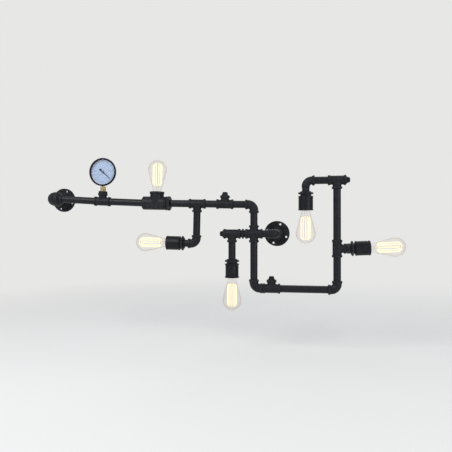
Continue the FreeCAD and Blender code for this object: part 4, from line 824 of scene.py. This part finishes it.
class PIPELIGHT_OT_stage(bpy.types.Operator):
    """Set up the floor, the soft lights and the camera"""
    bl_idname = "pipe_light.stage"
    bl_label = "Studio"

    def execute(self, context):
        stage = settings("stage")
        self.camera(stage)
        self.floor(stage)
        self.lights()
        self.world(stage)
        bpy.context.scene.view_settings.view_transform = "Standard"
        return {"FINISHED"}

    @staticmethod
    def camera(stage):
        """Camera of the photograph, turned a little to the left."""
        data = bpy.data.cameras.new("camera")
        data.lens = stage.lens
        data.sensor_width = 36.0
        camera = bpy.data.objects.new("camera", data)
        camera.location = stage.camera
        camera.rotation_euler = (math.pi / 2 + stage.pitch, 0.0, stage.yaw)
        bpy.context.scene.collection.objects.link(camera)
        bpy.context.scene.camera = camera

    @staticmethod
    def floor(stage):
        """Wide pale floor under the light that turns into the backdrop far from it."""
        level = CAD_BOX[0][2] - stage.floor_gap
        half = stage.floor_half
        mesh = bpy.data.meshes.new("floor")
        mesh.from_pydata([(-half, -half, level), (half, -half, level), (half, half, level),
                          (-half, half, level)], [], [(0, 1, 2, 3)])
        floor = bpy.data.objects.new("floor", mesh)
        bpy.context.scene.collection.objects.link(floor)
        finish = Finish("floor_paper", Roughness=0.9, Specular_IOR_Level=0.2)
        cloud = finish.noise(0.4)
        distance = finish.node("ShaderNodeVectorMath", {"operation": "LENGTH"},
                               (finish.place(),), output="Value")
        paper = Value(finish, finish.shader.outputs["BSDF"])
        backdrop = finish.node("ShaderNodeEmission", None, {"Color": (*stage.floor, 1.0)})
        far = distance.above(stage.fade_start, stage.fade_end) * finish.shows()
        finish.feed(finish.nodes["Material Output"].inputs["Surface"],
                    finish.node("ShaderNodeMixShader", None, (far, paper, backdrop)))
        mesh.materials.append(finish.varies(
            Base_Color=finish.blend(cloud, tuple(stage.floor), shade(stage.floor, 0.98))))

    @staticmethod
    def lights():
        """Large soft lamps above, left and right in front of the light, and one behind."""
        aim = Vector((-0.12, -0.05, 0.0))
        for name, place, size, power in (
                ("key", (-1.3, -1.7, 1.5), 1.4, 40.0), ("fill", (1.7, -1.5, 0.5), 1.6, 18.0),
                ("top", (0.0, 0.2, 2.0), 1.6, 7.0), ("back", (0.6, 2.2, 1.2), 1.6, 14.0)):
            data = bpy.data.lights.new(name, "AREA")
            data.shape = "DISK"
            data.size = size
            data.energy = power
            lamp = bpy.data.objects.new(name, data)
            lamp.location = place
            lamp.rotation_mode = "QUATERNION"
            lamp.rotation_quaternion = (aim - Vector(place)).to_track_quat("-Z", "Y")
            bpy.context.scene.collection.objects.link(lamp)

    @staticmethod
    def world(stage):
        """Pale backdrop to the camera and through glass, dimmer as light."""
        world = bpy.data.worlds.new("studio")
        studio = NodeTree(world)
        backdrop = Value(studio, studio.nodes["Background"].outputs["Background"])
        studio.nodes["Background"].inputs["Color"].default_value = (*stage.floor, 1.0)
        light = studio.node("ShaderNodeBackground", None, {
            "Color": (0.85, 0.88, 0.92, 1.0), "Strength": 0.45})
        studio.feed(studio.nodes["World Output"].inputs["Surface"],
                    studio.node("ShaderNodeMixShader", None, (studio.shows(), light, backdrop)))
        bpy.context.scene.world = world


class PIPELIGHT_PT_panel(bpy.types.Panel):
    """Panel with the steps of the wall light"""
    bl_label = "Pipe Wall Light"
    bl_idname = "PIPELIGHT_PT_panel"
    bl_space_type = "VIEW_3D"
    bl_region_type = "UI"
    bl_category = "Pipe Light"

    def draw(self, context):
        for operator in OPERATORS:
            self.layout.operator(operator.bl_idname)


SETTINGS = {"iron": IronSettings, "lamp": LampSettings, "gauge": GaugeSettings,
            "stage": StageSettings}
OPERATORS = (PIPELIGHT_OT_finishes, PIPELIGHT_OT_threads, PIPELIGHT_OT_filaments,
             PIPELIGHT_OT_stems, PIPELIGHT_OT_dial, PIPELIGHT_OT_stage)


def register():
    for name, group in SETTINGS.items():
        bpy.utils.register_class(group)
        setattr(bpy.types.Scene, "pipe_light_" + name, bpy.props.PointerProperty(type=group))
    for operator in OPERATORS:
        bpy.utils.register_class(operator)
    bpy.utils.register_class(PIPELIGHT_PT_panel)


def unregister():
    bpy.utils.unregister_class(PIPELIGHT_PT_panel)
    for operator in reversed(OPERATORS):
        bpy.utils.unregister_class(operator)
    for name, group in SETTINGS.items():
        delattr(bpy.types.Scene, "pipe_light_" + name)
        bpy.utils.unregister_class(group)


def main():
    register()
    bpy.ops.pipe_light.finishes()
    bpy.ops.pipe_light.threads()
    bpy.ops.pipe_light.filaments()
    bpy.ops.pipe_light.stems()
    bpy.ops.pipe_light.dial()
    bpy.ops.pipe_light.stage()


if __name__ == "__main__":
    main()
